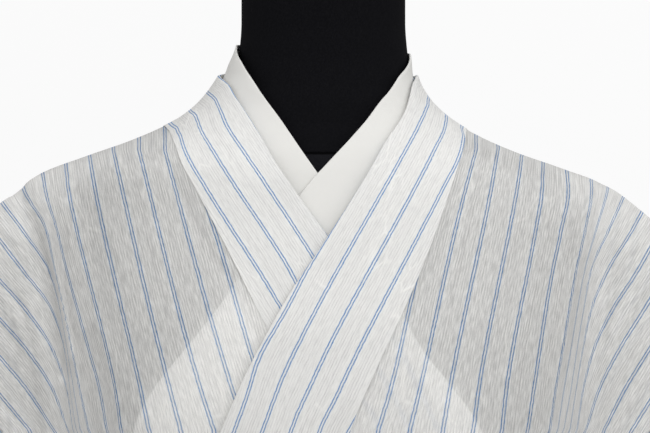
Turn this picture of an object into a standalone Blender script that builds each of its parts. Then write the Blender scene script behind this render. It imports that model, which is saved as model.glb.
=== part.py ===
"""A striped summer kimono on a limbless dress form with a round stand.

Metres, +Z up, the wearer faces -Y, so the wearer's left is at +X. The origin is on the floor,
under the middle of the stand. Every cloth piece lies on one drape surface: a stack of rounded
sections, read by the distance round from the centre front and the height. Pieces that overlap
keep their own distance out from that surface.
"""

import math

import bmesh
import bpy
import numpy as np

CLOTH_WALL = 0.0012
COLLAR_WALL = 0.0022
SASH_WALL = 0.0020
INNER_WALL = 0.0010
SEAM_GAP = 0.0003

SASH_TOP = 1.090
SASH_MIDDLE = 1.055
SASH_BOTTOM = 1.020
SASH_OUT = 0.0050

UNDER_LAYER_OUT = -0.0052
INNER_LEFT_OUT = -0.0092
INNER_RIGHT_OUT = -0.0123
INNER_SHOULDER_OUT = -0.0058
INNER_NECK_OUT = -0.0034

WEARERS_LEFT = 1
WEARERS_RIGHT = -1

# The drape surface: a rounded section at each height
SECTION_POWER = 2.3
SECTION_COLUMNS = ("height", "half_width", "front_depth", "back_depth")
CLOTH_SECTIONS = (
    (0.070, 0.1480, 0.116, 0.116),
    (0.450, 0.1560, 0.122, 0.122),
    (0.840, 0.1680, 0.128, 0.126),
    (0.960, 0.1520, 0.116, 0.112),
    (1.055, 0.1420, 0.112, 0.105),
    (1.110, 0.1520, 0.125, 0.106),
    (1.180, 0.1700, 0.144, 0.110),
    (1.240, 0.1800, 0.138, 0.110),
    (1.290, 0.1840, 0.124, 0.108),
    (1.325, 0.1840, 0.112, 0.105),
    (1.352, 0.1760, 0.100, 0.103),
    (1.367, 0.1437, 0.091, 0.100),
    (1.378, 0.1145, 0.083, 0.096),
    (1.388, 0.0950, 0.077, 0.092),
    (1.400, 0.0812, 0.072, 0.088),
    (1.4195, 0.0630, 0.066, 0.083),
    (1.440, 0.0602, 0.064, 0.081),
)

# Soft folds that run down the skirt: bearing from the centre front, in degrees
FOLD_COLUMNS = ("bearing", "spread", "depth")
SKIRT_FOLDS = (
    (58, 13, 0.0060),
    (96, 12, -0.0050),
    (128, 15, 0.0065),
    (171, 13, -0.0045),
    (212, 14, 0.0060),
    (249, 11, -0.0050),
    (291, 14, 0.0055),
)
FOLD_TOP = 0.93
FOLD_FULL = 0.35

# The line of the shoulder, seen from the front: cloth width from the centre back, place
SHOULDER_COLUMNS = ("cloth_width", "across", "height")
SHOULDER_LINE = (
    (0.076, 0.0880, 1.3930),
    (0.088, 0.0988, 1.3856),
    (0.120, 0.1281, 1.3722),
    (0.153, 0.1595, 1.3611),
    (0.186, 0.1900, 1.3494),
    (0.215, 0.2135, 1.3325),
    (0.245, 0.2355, 1.3125),
    (0.280, 0.2573, 1.2852),
    (0.312, 0.2742, 1.2580),
)
SHOULDER_TILT = 0.0036
NECK_CUT = {WEARERS_LEFT: 0.0835, WEARERS_RIGHT: 0.0955}
SLEEVE_SEAM = 0.312
SLEEVE_SEAM_SET_OFF = 0.0012
OVERLAP_SEAM = 0.060

# How far each part of the shoulder cloth hangs before it meets the body
HANG_COLUMNS = ("cloth_width", "reach")
HANG = (
    (0.080, 0.003),
    (0.150, 0.004),
    (0.175, 0.010),
    (0.200, 0.028),
    (0.225, 0.050),
    (0.260, 0.075),
    (0.312, 0.100),
)
HANG_ENDS = 1.098
HANG_FADES = 1.150
WING_GAP = 0.030
DRAPE_FOLD_DEPTH = 0.007
DRAPE_FOLD_WIDTH = 0.013
DRAPE_FOLD_ACROSS = 0.184

# Collar against body: where the seam runs and where the collar's free edge is, each side
COLLAR_COLUMNS = ("seam_height", "seam_across", "edge_height", "edge_across")
OVER_COLLAR = (
    (1.055, -0.0300, 1.0820, -0.1080),
    (1.110, -0.0099, 1.1380, -0.0847),
    (1.179, 0.0158, 1.2068, -0.0555),
    (1.208, 0.0265, 1.2355, -0.0424),
    (1.242, 0.0426, 1.2735, -0.0213),
    (1.285, 0.0607, 1.3120, 0.0032),
    (1.327, 0.0768, 1.3480, 0.0245),
    (1.372, 0.0915, 1.3885, 0.0470),
    (1.386, 0.0945, 1.4190, 0.0605),
)
UNDER_COLLAR = (
    (1.055, -0.0480, 1.0840, -0.1160),
    (1.110, -0.0310, 1.1410, -0.1000),
    (1.179, -0.0010, 1.2110, -0.0700),
    (1.208, 0.0135, 1.2390, -0.0530),
    (1.248, 0.0351, 1.2790, -0.0265),
    (1.287, 0.0568, 1.3140, -0.0024),
    (1.323, 0.0763, 1.3480, 0.0213),
    (1.365, 0.0966, 1.3907, 0.0503),
    (1.383, 0.1010, 1.4190, 0.0620),
)
COLLAR_TOP = 1.4195
COLLAR_END = 0.800
COLLAR_END_SEAM = -0.092
FREE_EDGE = -0.167
COLLAR_WIDTH = FREE_EDGE - COLLAR_END_SEAM

# Collar round the back of the neck: part of the way from shoulder to centre back
NAPE_COLUMNS = ("around", "seam_height", "edge_height", "inner_edge_height")
NAPE = (
    (0.00, 1.3856, 1.4195, 1.4360),
    (0.35, 1.3800, 1.4240, 1.4370),
    (0.70, 1.3680, 1.4230, 1.4310),
    (1.00, 1.3610, 1.4160, 1.4200),
)

# Distance past the centre front of the overlap seam, and the side seam's place
LAP_COLUMNS = ("height", "overlap_seam", "side_forward", "slit")
LAPS = (
    (0.070, -0.020, 0.014, 0.0002),
    (0.800, -0.025, 0.020, 0.0002),
    (0.960, -0.014, 0.012, 0.0002),
    (1.010, -0.009, 0.006, 0.0080),
    (1.055, -0.004, 0.000, 0.0140),
    (1.100, 0.003, 0.000, 0.0260),
    (1.168, 0.012, 0.000, 0.0340),
    (1.400, 0.012, 0.000, 0.0340),
)

# The white inner collar: its free edge in the neckline and the outer edge of its flaps
INNER_COLUMNS = ("edge_height", "edge_across", "outer_height", "outer_across")
INNER_LEFT = (
    (1.0950, -0.0300, 1.0700, 0.1150),
    (1.1600, -0.0300, 1.1250, 0.1300),
    (1.2200, -0.0300, 1.1801, 0.1123),
    (1.2700, -0.0310, 1.2163, 0.0872),
    (1.3100, -0.0310, 1.2652, 0.0540),
    (1.3389, -0.0150, 1.3000, 0.0560),
    (1.3597, 0.0011, 1.3300, 0.0660),
    (1.3764, 0.0149, 1.3520, 0.0740),
    (1.3999, 0.0359, 1.3720, 0.0800),
    (1.4153, 0.0490, 1.3800, 0.0840),
)
INNER_RIGHT = (
    (1.0950, -0.0350, 1.0700, 0.1150),
    (1.1600, -0.0350, 1.1250, 0.1380),
    (1.2200, -0.0350, 1.1794, 0.1349),
    (1.2700, -0.0360, 1.2330, 0.0957),
    (1.3000, -0.0360, 1.2846, 0.0568),
    (1.3300, -0.0140, 1.3050, 0.0600),
    (1.3540, 0.0033, 1.3300, 0.0680),
    (1.3804, 0.0224, 1.3520, 0.0760),
    (1.3999, 0.0358, 1.3720, 0.0830),
    (1.4180, 0.0498, 1.3800, 0.0870),
)
INNER_OUTER_TOP = 1.3900

# Rows of the cloth: part of the drop from the shoulder to the sash, then heights down to the hem
FRONT_LEVELS = (0, 0.012, 0.035, 0.08, 0.15, 0.24, 0.34, 0.46, 0.58, 0.66, 0.78, 0.89, 1.0)
OVERLAP_TIP_LEVEL = 9
OVERLAP_TIP_PART = 0.18
ARMHOLE_LEVEL = 9
NECK_LEVELS = (0.012, 0.028, 0.046, 0.065, 0.083, 0.102, 0.120)
BACK_LEVELS = (0.18, 0.26, 0.36, 0.47, 0.58, 0.66, 0.78, 0.89, 1.0)
SKIRT_ROWS = (1.02, 0.97, 0.89, 0.80, 0.66, 0.50, 0.34, 0.19, 0.07)
BODY_COLUMNS = 9

# Sleeves
SLEEVE_WIDTH = 0.31
SLEEVE_DROP = 0.46
SLEEVE_TOP_SLOPE = (55, 63)
CUFF_INWARD = 8
CUFF_OPENING = 0.21
SLEEVE_CORNER_RADIUS = 0.08
SLEEVE_PLACES = (0, 0.034, 0.068, 0.102, 0.136, 0.170, 0.202, 0.230, 0.255, 0.277, 0.294, 0.305, 0.31)
SLEEVE_HANG_COLUMNS = ("part", "across", "half_gap")
SLEEVE_INNER_EDGE = (
    (0.00, 0.1790, 0.0300),
    (0.15, 0.1840, 0.0290),
    (0.45, 0.1905, 0.0240),
    (0.75, 0.1950, 0.0170),
    (1.00, 0.1960, 0.0080),
)
SLEEVE_FOLD_COLUMNS = ("place", "depth")
SLEEVE_FOLDS = ((0.055, 0.007), (0.125, -0.006), (0.190, 0.008), (0.262, -0.006))
SLEEVE_FOLD_SPREAD = 0.024

# The dress form
FORM_POWER = 2.2
FORM_COLUMNS = ("height", "half_width", "half_depth", "centre_y")
FORM_SECTIONS = (
    (0.800, 0.1480, 0.106, 0.004),
    (0.830, 0.1525, 0.109, 0.004),
    (0.900, 0.1480, 0.107, 0.004),
    (0.970, 0.1320, 0.098, 0.003),
    (1.030, 0.1220, 0.090, 0.000),
    (1.080, 0.1270, 0.095, -0.003),
    (1.140, 0.1400, 0.104, -0.009),
    (1.190, 0.1560, 0.112, -0.012),
    (1.240, 0.1680, 0.109, -0.011),
    (1.290, 0.1740, 0.099, -0.008),
    (1.322, 0.1740, 0.091, -0.005),
    (1.340, 0.1690, 0.085, -0.003),
    (1.3525, 0.1570, 0.080, -0.002),
    (1.3610, 0.1370, 0.075, -0.001),
    (1.3690, 0.1130, 0.070, 0.000),
    (1.3780, 0.0970, 0.067, 0.001),
    (1.3880, 0.0820, 0.064, 0.002),
    (1.400, 0.0690, 0.0615, 0.002),
    (1.415, 0.0593, 0.0586, 0.003),
    (1.435, 0.0558, 0.0556, 0.004),
    (1.470, 0.0538, 0.0540, 0.004),
    (1.498, 0.0538, 0.0540, 0.004),
)
FORM_SIDES = 32
NECK_CAP_RADIUS = 0.0525
NECK_CAP_HEIGHT = 0.010
POLE_RADIUS = 0.0125
POLE_COLLAR_RADIUS = 0.024
POLE_COLLAR_HEIGHT = 0.045
BASE_RADIUS = 0.180
BASE_HEIGHT = 0.014
ROUND_SIDES = 40

COLLAR_PARTS = (0.25, 0.5, 0.75, 1.0)
COLLAR_BRIDGE_PARTS = (0.35, 0.7)
INNER_FLAP_ROWS = 19
INNER_FLAP_COLUMNS = 8
INNER_BRIDGE_PARTS = (0.25, 0.5, 0.75)
SECTION_STEPS = 240
NORMAL_REACH = 0.004


def column(rows, names, name):
    """One named column of a table, as an array."""
    return np.array([row[names.index(name)] for row in rows], dtype=float)


def smooth_read(at, places, values):
    """Read a table between its rows on a smooth curve that never overshoots."""
    places = np.asarray(places, dtype=float)
    values = np.asarray(values, dtype=float)
    at = min(max(at, places[0]), places[-1])
    slopes = np.diff(values) / np.diff(places)
    index = min(max(int(np.searchsorted(places, at) - 1), 0), len(slopes) - 1)
    tangents = []
    for end in (index, index + 1):
        before = slopes[max(end - 1, 0)]
        after = slopes[min(end, len(slopes) - 1)]
        flat = before * after <= 0
        tangents.append(0.0 if flat else 2 * before * after / (before + after))
    width = places[index + 1] - places[index]
    part = (at - places[index]) / width
    square, cube = part * part, part * part * part
    return float((2 * cube - 3 * square + 1) * values[index]
                 + (cube - 2 * square + part) * width * tangents[0]
                 + (3 * square - 2 * cube) * values[index + 1]
                 + (cube - square) * width * tangents[1])


def read(rows, names, name, at):
    """Read a named column at a place in the table's first column."""
    return smooth_read(at, column(rows, names, names[0]), column(rows, names, name))


def ease(value, start, end):
    """0 before start, 1 after end, and soft in between."""
    part = min(max((value - start) / (end - start), 0.0), 1.0)
    return part * part * (3 - 2 * part)


def signed_power(value, power):
    return math.copysign(abs(value) ** power, value)


class Section:
    """The drape surface at one height, as points at even bearings and the way round to each."""

    kept = {}

    def __init__(self, height):
        half_width = read(CLOTH_SECTIONS, SECTION_COLUMNS, "half_width", height)
        front = read(CLOTH_SECTIONS, SECTION_COLUMNS, "front_depth", height)
        back = read(CLOTH_SECTIONS, SECTION_COLUMNS, "back_depth", height)
        fold_strength = 1 - ease(height, FOLD_FULL, FOLD_TOP)
        self.bearings = np.linspace(-math.pi, math.pi, SECTION_STEPS + 1)
        points = []
        for bearing in self.bearings:
            across = half_width * signed_power(math.sin(bearing), 2 / SECTION_POWER)
            depth = front if math.cos(bearing) > 0 else back
            along = -depth * signed_power(math.cos(bearing), 2 / SECTION_POWER)
            swell = 1 + fold_strength * self.folds(math.degrees(bearing)) / half_width
            points.append((across * swell, along * swell))
        self.points = np.array(points)
        steps = np.linalg.norm(np.diff(self.points, axis=0), axis=1)
        lengths = np.concatenate(([0.0], np.cumsum(steps)))
        self.lengths = lengths - np.interp(0.0, self.bearings, lengths)

    @classmethod
    def at(cls, height):
        key = round(height, 5)
        if key not in cls.kept:
            cls.kept[key] = cls(key)
        return cls.kept[key]

    @staticmethod
    def folds(degrees):
        apart = (degrees - column(SKIRT_FOLDS, FOLD_COLUMNS, "bearing") + 180) % 360 - 180
        spreads = column(SKIRT_FOLDS, FOLD_COLUMNS, "spread")
        depths = column(SKIRT_FOLDS, FOLD_COLUMNS, "depth")
        return float(np.sum(depths * np.exp(-(apart / spreads) ** 2)))

    def way_to(self, degrees):
        return float(np.interp(math.radians(degrees), self.bearings, self.lengths))

    def way_across(self, across):
        """Way round from the centre front to a front point this far across."""
        front = np.abs(self.bearings) < math.pi / 2
        return float(np.interp(across, self.points[front, 0], self.lengths[front]))

    def read_round(self, way):
        start, total = self.lengths[0], self.lengths[-1] - self.lengths[0]
        way = (way - start) % total + start
        return [float(np.interp(way, self.lengths, self.points[:, axis])) for axis in (0, 1)]

    def point(self, way, out):
        across, along = self.read_round(way)
        ahead, behind = self.read_round(way + NORMAL_REACH), self.read_round(way - NORMAL_REACH)
        run = (ahead[0] - behind[0], ahead[1] - behind[1])
        length = math.hypot(*run)
        return across + out * run[1] / length, along - out * run[0] / length


def on_surface(side, way, height, out=0.0):
    """A point at a way round to the wearer's given side, out from the drape surface."""
    across, along = Section.at(height).point(side * way, out)
    return (across, along, height)


def side_way(side, height):
    return abs(Section.at(height).way_to(90 * side))


def back_way(side, height):
    return abs(Section.at(height).way_to(180 * side))


def front_way(side, across, height):
    return side * Section.at(height).way_across(side * across)


def tilted(point):
    """The right shoulder sits a little higher than the left one."""
    across, along, height = point
    share = ease(abs(across), 0.050, 0.095) * ease(height, 1.10, 1.25)
    return (across, along, height - math.copysign(SHOULDER_TILT, across) * share)


def collar_table(side):
    return OVER_COLLAR if side == WEARERS_LEFT else UNDER_COLLAR


def layer_out(side, way, height):
    """The right front lies under the left one, so it sits further in where it is covered."""
    if side == WEARERS_LEFT:
        return 0.0
    covered = (1 - ease(way, 0.165, 0.215)) * (1 - ease(height, 1.32, 1.36))
    return UNDER_LAYER_OUT * covered


def collar_seam_way(side, height):
    """Way round to the seam between the collar and the front."""
    rows = collar_table(side)
    if height >= SASH_MIDDLE:
        return front_way(side, read(rows, COLLAR_COLUMNS, "seam_across", height), height)
    across = read(rows, COLLAR_COLUMNS, "seam_across", SASH_MIDDLE)
    at_sash = front_way(side, across, SASH_MIDDLE)
    fall = (SASH_MIDDLE - height) / (SASH_MIDDLE - COLLAR_END)
    return at_sash + (COLLAR_END_SEAM - at_sash) * min(fall, 1.0)


def collar_edge(side, height):
    """Height and way round of the collar's free edge, across from a point of its seam."""
    rows = collar_table(side)
    if height >= SASH_MIDDLE:
        edge_height = read(rows, COLLAR_COLUMNS, "edge_height", height)
        across = read(rows, COLLAR_COLUMNS, "edge_across", height)
        return edge_height, front_way(side, across, edge_height)
    rise = read(rows, COLLAR_COLUMNS, "edge_height", SASH_MIDDLE) - SASH_MIDDLE
    across = read(rows, COLLAR_COLUMNS, "edge_across", SASH_MIDDLE)
    at_sash = front_way(side, across, SASH_MIDDLE + rise)
    fall = (SASH_MIDDLE - height) / (SASH_MIDDLE - COLLAR_END)
    return height + rise * (1 - fall), at_sash + (FREE_EDGE - at_sash) * fall


def shoulder_point(side, cloth_width):
    across = read(SHOULDER_LINE, SHOULDER_COLUMNS, "across", cloth_width)
    height = read(SHOULDER_LINE, SHOULDER_COLUMNS, "height", cloth_width)
    return side * across, height


def settled_way(part, start, end, cloth):
    """Cloth keeps its width by the inner edge, and gathers towards the outer one."""
    room = abs(end - start)
    share = min(max(room / cloth, 0.55), 1.6)
    spread = part / share - (1 / share - 1) * part * part
    return start + (end - start) * spread


def body_point(side, face, part, level):
    return tilted(level_body_point(side, face, part, level))


def level_body_point(side, face, part, level):
    """A point of a body panel above the sash, as if both shoulders were level.

    face is 1 in front and -1 behind, part runs from the neck or centre to the sleeve, and
    level from the shoulder line, 0, to the sash, 1.
    """
    cloth_width = NECK_CUT[side] + part * (SLEEVE_SEAM - NECK_CUT[side])
    top_across, top_height = shoulder_point(side, cloth_width)
    height = top_height - level * (top_height - SASH_MIDDLE)
    if face > 0:
        inner_height = shoulder_point(side, NECK_CUT[side])[1]
        inner_height -= level * (inner_height - SASH_MIDDLE)
        start = inner_front_way(side, inner_height)
        start += front_way_shift(side, inner_height, height)
        cloth = SLEEVE_SEAM - OVERLAP_SEAM - (NECK_CUT[side] - OVERLAP_SEAM) * (1 - level)
        end = side_way(side, height) - read(LAPS, LAP_COLUMNS, "side_forward", height)
        end -= read(LAPS, LAP_COLUMNS, "slit", height)
        way = settled_way(part, start, end, cloth)
    else:
        around = min(level / NECK_LEVELS[-1], 1.0)
        neck_top = shoulder_point(side, NECK_CUT[side])[1]
        nape_height = read(NAPE, NAPE_COLUMNS, "seam_height", 1.0)
        if around < 1:
            inner_height = neck_top + (nape_height - neck_top) * nape_fall(around)
        else:
            below = (level - NECK_LEVELS[-1]) / (1 - NECK_LEVELS[-1])
            inner_height = nape_height + (SASH_MIDDLE - nape_height) * below
        plain_height = neck_top - level * (neck_top - SASH_MIDDLE)
        height += (inner_height - plain_height) * (1 - part) ** 2
        centre = back_way(side, height) - SEAM_GAP / 2
        side_at = side_way(side, height)
        start = side_at + (centre - side_at) * around
        end = side_at - read(LAPS, LAP_COLUMNS, "side_forward", height)
        end += read(LAPS, LAP_COLUMNS, "slit", height)
        cloth = NECK_CUT[side] * around + (SLEEVE_SEAM - NECK_CUT[side])
        way = settled_way(part, start, end, cloth)
    out = layer_out(side, way, height) if face > 0 else 0.0
    across, along, _ = on_surface(side, way, height, out)
    fall = max(top_height - height, 0.0)
    reach = read(HANG, HANG_COLUMNS, "reach", cloth_width)
    hang = math.exp(-fall / reach) * ease(height, HANG_ENDS, HANG_FADES)
    wing = -face * WING_GAP * (1 - math.exp(-fall / 0.02))
    across += (top_across - across) * hang
    along += (wing - along) * hang
    trough = math.exp(-((abs(across) - DRAPE_FOLD_ACROSS) / DRAPE_FOLD_WIDTH) ** 2)
    trough *= ease(fall, 0.0, 0.05) * ease(height, HANG_ENDS, 1.20)
    along += face * DRAPE_FOLD_DEPTH * trough * min(abs(along) / 0.04, 1.0)
    return across, along, height


def inner_front_way(side, height):
    """Way round to the inner edge of the front panel: the collar seam, then the overlap's."""
    tip = overlap_tip_height(side)
    if height >= tip:
        return collar_seam_way(side, height)
    at_tip = collar_seam_way(side, tip)
    drawn = read(LAPS, LAP_COLUMNS, "overlap_seam", height)
    return drawn + (at_tip - read(LAPS, LAP_COLUMNS, "overlap_seam", tip)) * ease(height, 0.96, tip)


def front_way_shift(side, from_height, to_height):
    """Keep a row's start at the same place across when its height changes outwards."""
    across = Section.at(from_height).point(side * inner_front_way(side, from_height), 0.0)[0]
    return front_way(side, side * across, to_height) - inner_front_way(side, from_height)


def overlap_tip_height(side):
    top = shoulder_point(side, NECK_CUT[side])[1]
    return top - FRONT_LEVELS[OVERLAP_TIP_LEVEL] * (top - SASH_MIDDLE)


def nape_fall(around):
    heights = column(NAPE, NAPE_COLUMNS, "seam_height")
    now = read(NAPE, NAPE_COLUMNS, "seam_height", around)
    return (heights[0] - now) / (heights[0] - heights[-1])


def skirt_way(side, face, part, height):
    """Way round to a point of the body panel below the sash."""
    forward = read(LAPS, LAP_COLUMNS, "side_forward", height)
    slit = read(LAPS, LAP_COLUMNS, "slit", height)
    edge = side_way(side, height) - forward
    if face > 0:
        return inner_front_way(side, height) * (1 - part) + (edge - slit) * part
    centre = back_way(side, height) - SEAM_GAP / 2
    return centre * (1 - part) + (edge + slit) * part


def skirt_point(side, face, part, height):
    way = skirt_way(side, face, part, height)
    out = layer_out(side, way, height) if face > 0 else 0.0
    return on_surface(side, way, height, out)


def grid_mesh(rows, closed=False):
    """A sheet through rows of points. A closed one is rolled up, its first column met again."""
    tall, wide = len(rows) - 1, len(rows[0]) - (0 if closed else 1)
    mesh_builder = bmesh.new()
    bmesh.ops.create_grid(mesh_builder, x_segments=wide, y_segments=tall, size=1)
    mesh_builder.verts.ensure_lookup_table()
    for row_index, row in enumerate(rows):
        for column_index in range(wide + 1):
            vertex = mesh_builder.verts[row_index * (wide + 1) + column_index]
            vertex.co = row[column_index % len(row)]
    if closed:
        bmesh.ops.remove_doubles(mesh_builder, verts=mesh_builder.verts, dist=1e-6)
    return mesh_builder


def finish_object(name, mesh_builder, material, wall=None):
    """Turn a mesh under construction into a named object, with a wall where it is cloth."""
    bmesh.ops.recalc_face_normals(mesh_builder, faces=mesh_builder.faces)
    mesh = bpy.data.meshes.new(name)
    mesh_builder.to_mesh(mesh)
    mesh_builder.free()
    mesh.shade_smooth()
    mesh.set_sharp_from_angle(angle=math.radians(50))
    mesh.materials.append(material)
    made = bpy.data.objects.new(name, mesh)
    bpy.context.scene.collection.objects.link(made)
    if wall:
        thickness = made.modifiers.new("Wall", "SOLIDIFY")
        thickness.thickness = wall
        thickness.offset = 0
    return made


def plain_material(name, colour, roughness, metallic=0.0):
    material = bpy.data.materials.new(name)
    material.use_nodes = True
    shader = material.node_tree.nodes["Principled BSDF"]
    shader.inputs["Base Color"].default_value = (*colour, 1)
    shader.inputs["Roughness"].default_value = roughness
    shader.inputs["Metallic"].default_value = metallic
    return material


def body_panel(name, side, material):
    """Front and back in one length, from the front hem over the shoulder to the back hem."""
    parts = np.linspace(0, 1, BODY_COLUMNS)
    rows = []
    for height in reversed(SKIRT_ROWS):
        rows.append([skirt_point(side, 1, part, height) for part in parts])
    for level in reversed(FRONT_LEVELS):
        rows.append([body_point(side, 1, part, level) for part in parts])
    for level in NECK_LEVELS + BACK_LEVELS:
        rows.append([body_point(side, -1, part, level) for part in parts])
    for height in SKIRT_ROWS:
        rows.append([skirt_point(side, -1, part, height) for part in parts])
    return finish_object(name, grid_mesh(rows), material, CLOTH_WALL)


def overlap_panel(name, side, material):
    """The tapered front panel: a seam to the body, a slanted collar seam, a free front edge."""
    top = shoulder_point(side, NECK_CUT[side])[1]
    levels = [top - level * (top - SASH_MIDDLE) for level in FRONT_LEVELS[OVERLAP_TIP_LEVEL:]]
    heights = levels + list(SKIRT_ROWS)
    edges = []
    for height in heights:
        edges.append((height, inner_front_way(side, height), collar_seam_way(side, height)))
    point_row = [high + (low - high) * OVERLAP_TIP_PART for high, low in zip(*edges[:2])]
    rows = []
    for height, seam, collar in [point_row] + edges[1:]:
        seam -= SEAM_GAP
        edge = collar + COLLAR_WIDTH if height <= COLLAR_END else collar - 0.001
        ways = list(np.linspace(seam, collar, 4)) + list(np.linspace(collar, edge, 3))[1:]
        row = []
        for way in ways:
            point = on_surface(side, way, height, layer_out(side, way, height))
            row.append(tilted(point))
        rows.append(row)
    sheet = grid_mesh(rows)
    above = SKIRT_ROWS.index(COLLAR_END) + len(levels)
    sheet.faces.ensure_lookup_table()
    wide = len(rows[0]) - 1
    covered = [sheet.faces[row * wide + place] for row in range(above) for place in (3, 4)]
    bmesh.ops.delete(sheet, geom=covered, context="FACES")
    return finish_object(name, sheet, material, CLOTH_WALL)


def neck_parts():
    """The neck rows' parts of the way from the shoulder to the centre back."""
    return [level / NECK_LEVELS[-1] for level in NECK_LEVELS]


def collar_station(seam, way_at, heights, out):
    """One cross-section of a collar: its seam point, and places out to its free edge."""
    places = []
    for part in COLLAR_PARTS:
        height = heights[0] + (heights[1] - heights[0]) * part
        places.append((*way_at(part, height), height, out))
    return np.array(seam), np.array(places)


def bridged(stations, index, parts):
    """Add stations between one and the next, where the collar turns in round the neck."""
    (seam, places), (next_seam, next_places) = stations[index], stations[index + 1]
    between = [(seam + (next_seam - seam) * part, places + (next_places - places) * part)
               for part in parts]
    return stations[:index + 1] + between + stations[index + 1:]


def collar_row(station):
    seam, places = station
    return [tuple(seam)] + [tilted(on_surface(*place)) for place in places]


def straight_across(side, start, end, heights):
    """Ways round along a line that is straight when seen from the front."""
    places = []
    for way, height in zip((start, end), heights):
        places.append(side * Section.at(height).point(side * way, 0.0)[0])
    def way_at(part, height):
        return side, front_way(side, places[0] + (places[1] - places[0]) * part, height)
    return way_at


def evenly_round(side, start, end):
    def way_at(part, height):
        return side, start + (end - start) * part
    return way_at


def round_the_neck(side, around):
    """Ways round at one bearing of the neck, from the shoulder, 0, to the centre back, 1."""
    def way_at(part, height):
        near = side_way(side, height)
        return side, near + (back_way(side, height) - near) * around
    return way_at


def collar_front_stations(side):
    """Cross-sections from the collar's lower end up to the shoulder."""
    stations = []
    top = shoulder_point(side, NECK_CUT[side])[1]
    heights = [COLLAR_END + 2 * SEAM_GAP] + [h for h in reversed(SKIRT_ROWS) if h > COLLAR_END]
    levels = [(height, None) for height in heights]
    for level in reversed(FRONT_LEVELS):
        levels.append((top - level * (top - SASH_MIDDLE), level))
    for height, level in levels:
        seam_way = collar_seam_way(side, height)
        edge_height, edge_way = collar_edge(side, height)
        out = layer_out(side, seam_way, height)
        if level is not None and level <= FRONT_LEVELS[OVERLAP_TIP_LEVEL]:
            seam = body_point(side, 1, 0.0, level)
        else:
            seam = tilted(on_surface(side, seam_way, height, out))
        if level == 0:
            edge_height = COLLAR_TOP
            way_at = round_the_neck(side, 0.0)
        elif height >= SASH_MIDDLE:
            way_at = straight_across(side, seam_way, edge_way, (height, edge_height))
        else:
            way_at = evenly_round(side, seam_way, edge_way)
        stations.append(collar_station(seam, way_at, (height, edge_height), out))
    return bridged(stations, len(stations) - 2, COLLAR_BRIDGE_PARTS)


def collar_nape_stations(side):
    """Cross-sections from the shoulder to just short of the centre back."""
    stations = []
    for level, around in zip(NECK_LEVELS[:-1], neck_parts()):
        seam = body_point(side, -1, 0.0, level)
        heights = (seam[2], read(NAPE, NAPE_COLUMNS, "edge_height", around))
        stations.append(collar_station(seam, round_the_neck(side, around), heights, 0.0))
    return stations


def clear_of_seam(rows):
    """Draw each seam point in towards the collar, so that a fine gap stays at the seam."""
    for row in rows:
        first, second = np.array(row[0]), np.array(row[1])
        run = second - first
        row[0] = tuple(first + run / np.linalg.norm(run) * SEAM_GAP)
    return rows


def collar_band(name, material):
    """The collar runs from the left end up, round the neck, and down under itself."""
    left = collar_front_stations(WEARERS_LEFT) + collar_nape_stations(WEARERS_LEFT)
    right = collar_front_stations(WEARERS_RIGHT) + collar_nape_stations(WEARERS_RIGHT)
    heights = [read(NAPE, NAPE_COLUMNS, name, 1.0) for name in ("seam_height", "edge_height")]
    seam = on_surface(WEARERS_LEFT, back_way(WEARERS_LEFT, heights[0]), heights[0])
    middle = [collar_station(seam, round_the_neck(WEARERS_LEFT, 1.0), heights, 0.0)]
    rows = clear_of_seam([collar_row(place) for place in left + middle + list(reversed(right))])
    return finish_object(name, grid_mesh(rows), material, COLLAR_WALL)


def inner_out(side, height):
    """The inner collar lies deep under the fronts, and closer to the kimono round the neck."""
    low = INNER_LEFT_OUT if side == WEARERS_LEFT else INNER_RIGHT_OUT
    out = low + (INNER_SHOULDER_OUT - low) * ease(height, 1.335, 1.385)
    return out + (INNER_NECK_OUT - INNER_SHOULDER_OUT) * ease(height, 1.395, 1.425)


def inner_flap_rows(side):
    """One front flap of the inner collar, from its lower end up: side, way, height and out."""
    table = INNER_LEFT if side == WEARERS_LEFT else INNER_RIGHT
    places = range(len(table))
    rows = []
    for place in np.linspace(0, len(table) - 1, INNER_FLAP_ROWS):
        edge_height, edge_across, outer_height, outer_across = [
            smooth_read(place, places, column(table, INNER_COLUMNS, name))
            for name in INNER_COLUMNS]
        row = []
        for part in np.linspace(0, 1, INNER_FLAP_COLUMNS):
            height = outer_height + (edge_height - outer_height) * part
            across = outer_across + (edge_across - outer_across) * part
            row.append((side, front_way(side, across, height), height, inner_out(side, height)))
        rows.append(row)
    return rows


def inner_nape_row(side, around):
    way_at = round_the_neck(side, around)
    edge_height = read(NAPE, NAPE_COLUMNS, "inner_edge_height", around)
    row = []
    for part in np.linspace(0, 1, INNER_FLAP_COLUMNS):
        height = INNER_OUTER_TOP + (edge_height - INNER_OUTER_TOP) * part
        row.append((*way_at(part, height), height, inner_out(side, height)))
    return row


def inner_side(side):
    """One half of the inner collar, up the front and round to just short of the centre back."""
    flap = inner_flap_rows(side)
    nape = [inner_nape_row(side, around) for around in (0.0, *neck_parts()[:-1])]
    bridge = []
    for part in INNER_BRIDGE_PARTS:
        start, end = np.array(flap[-1]), np.array(nape[0])
        bridge.append([tuple(place) for place in start + (end - start) * part])
    return flap + bridge + nape


def inner_collar(name, material):
    """The white collar with its flaps, which lies between the form and the kimono."""
    middle = [inner_nape_row(WEARERS_LEFT, 1.0)]
    places = inner_side(WEARERS_LEFT) + middle + list(reversed(inner_side(WEARERS_RIGHT)))
    rows = [[tilted(on_surface(*place)) for place in row] for row in places]
    return finish_object(name, grid_mesh(rows), material, INNER_WALL)


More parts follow.
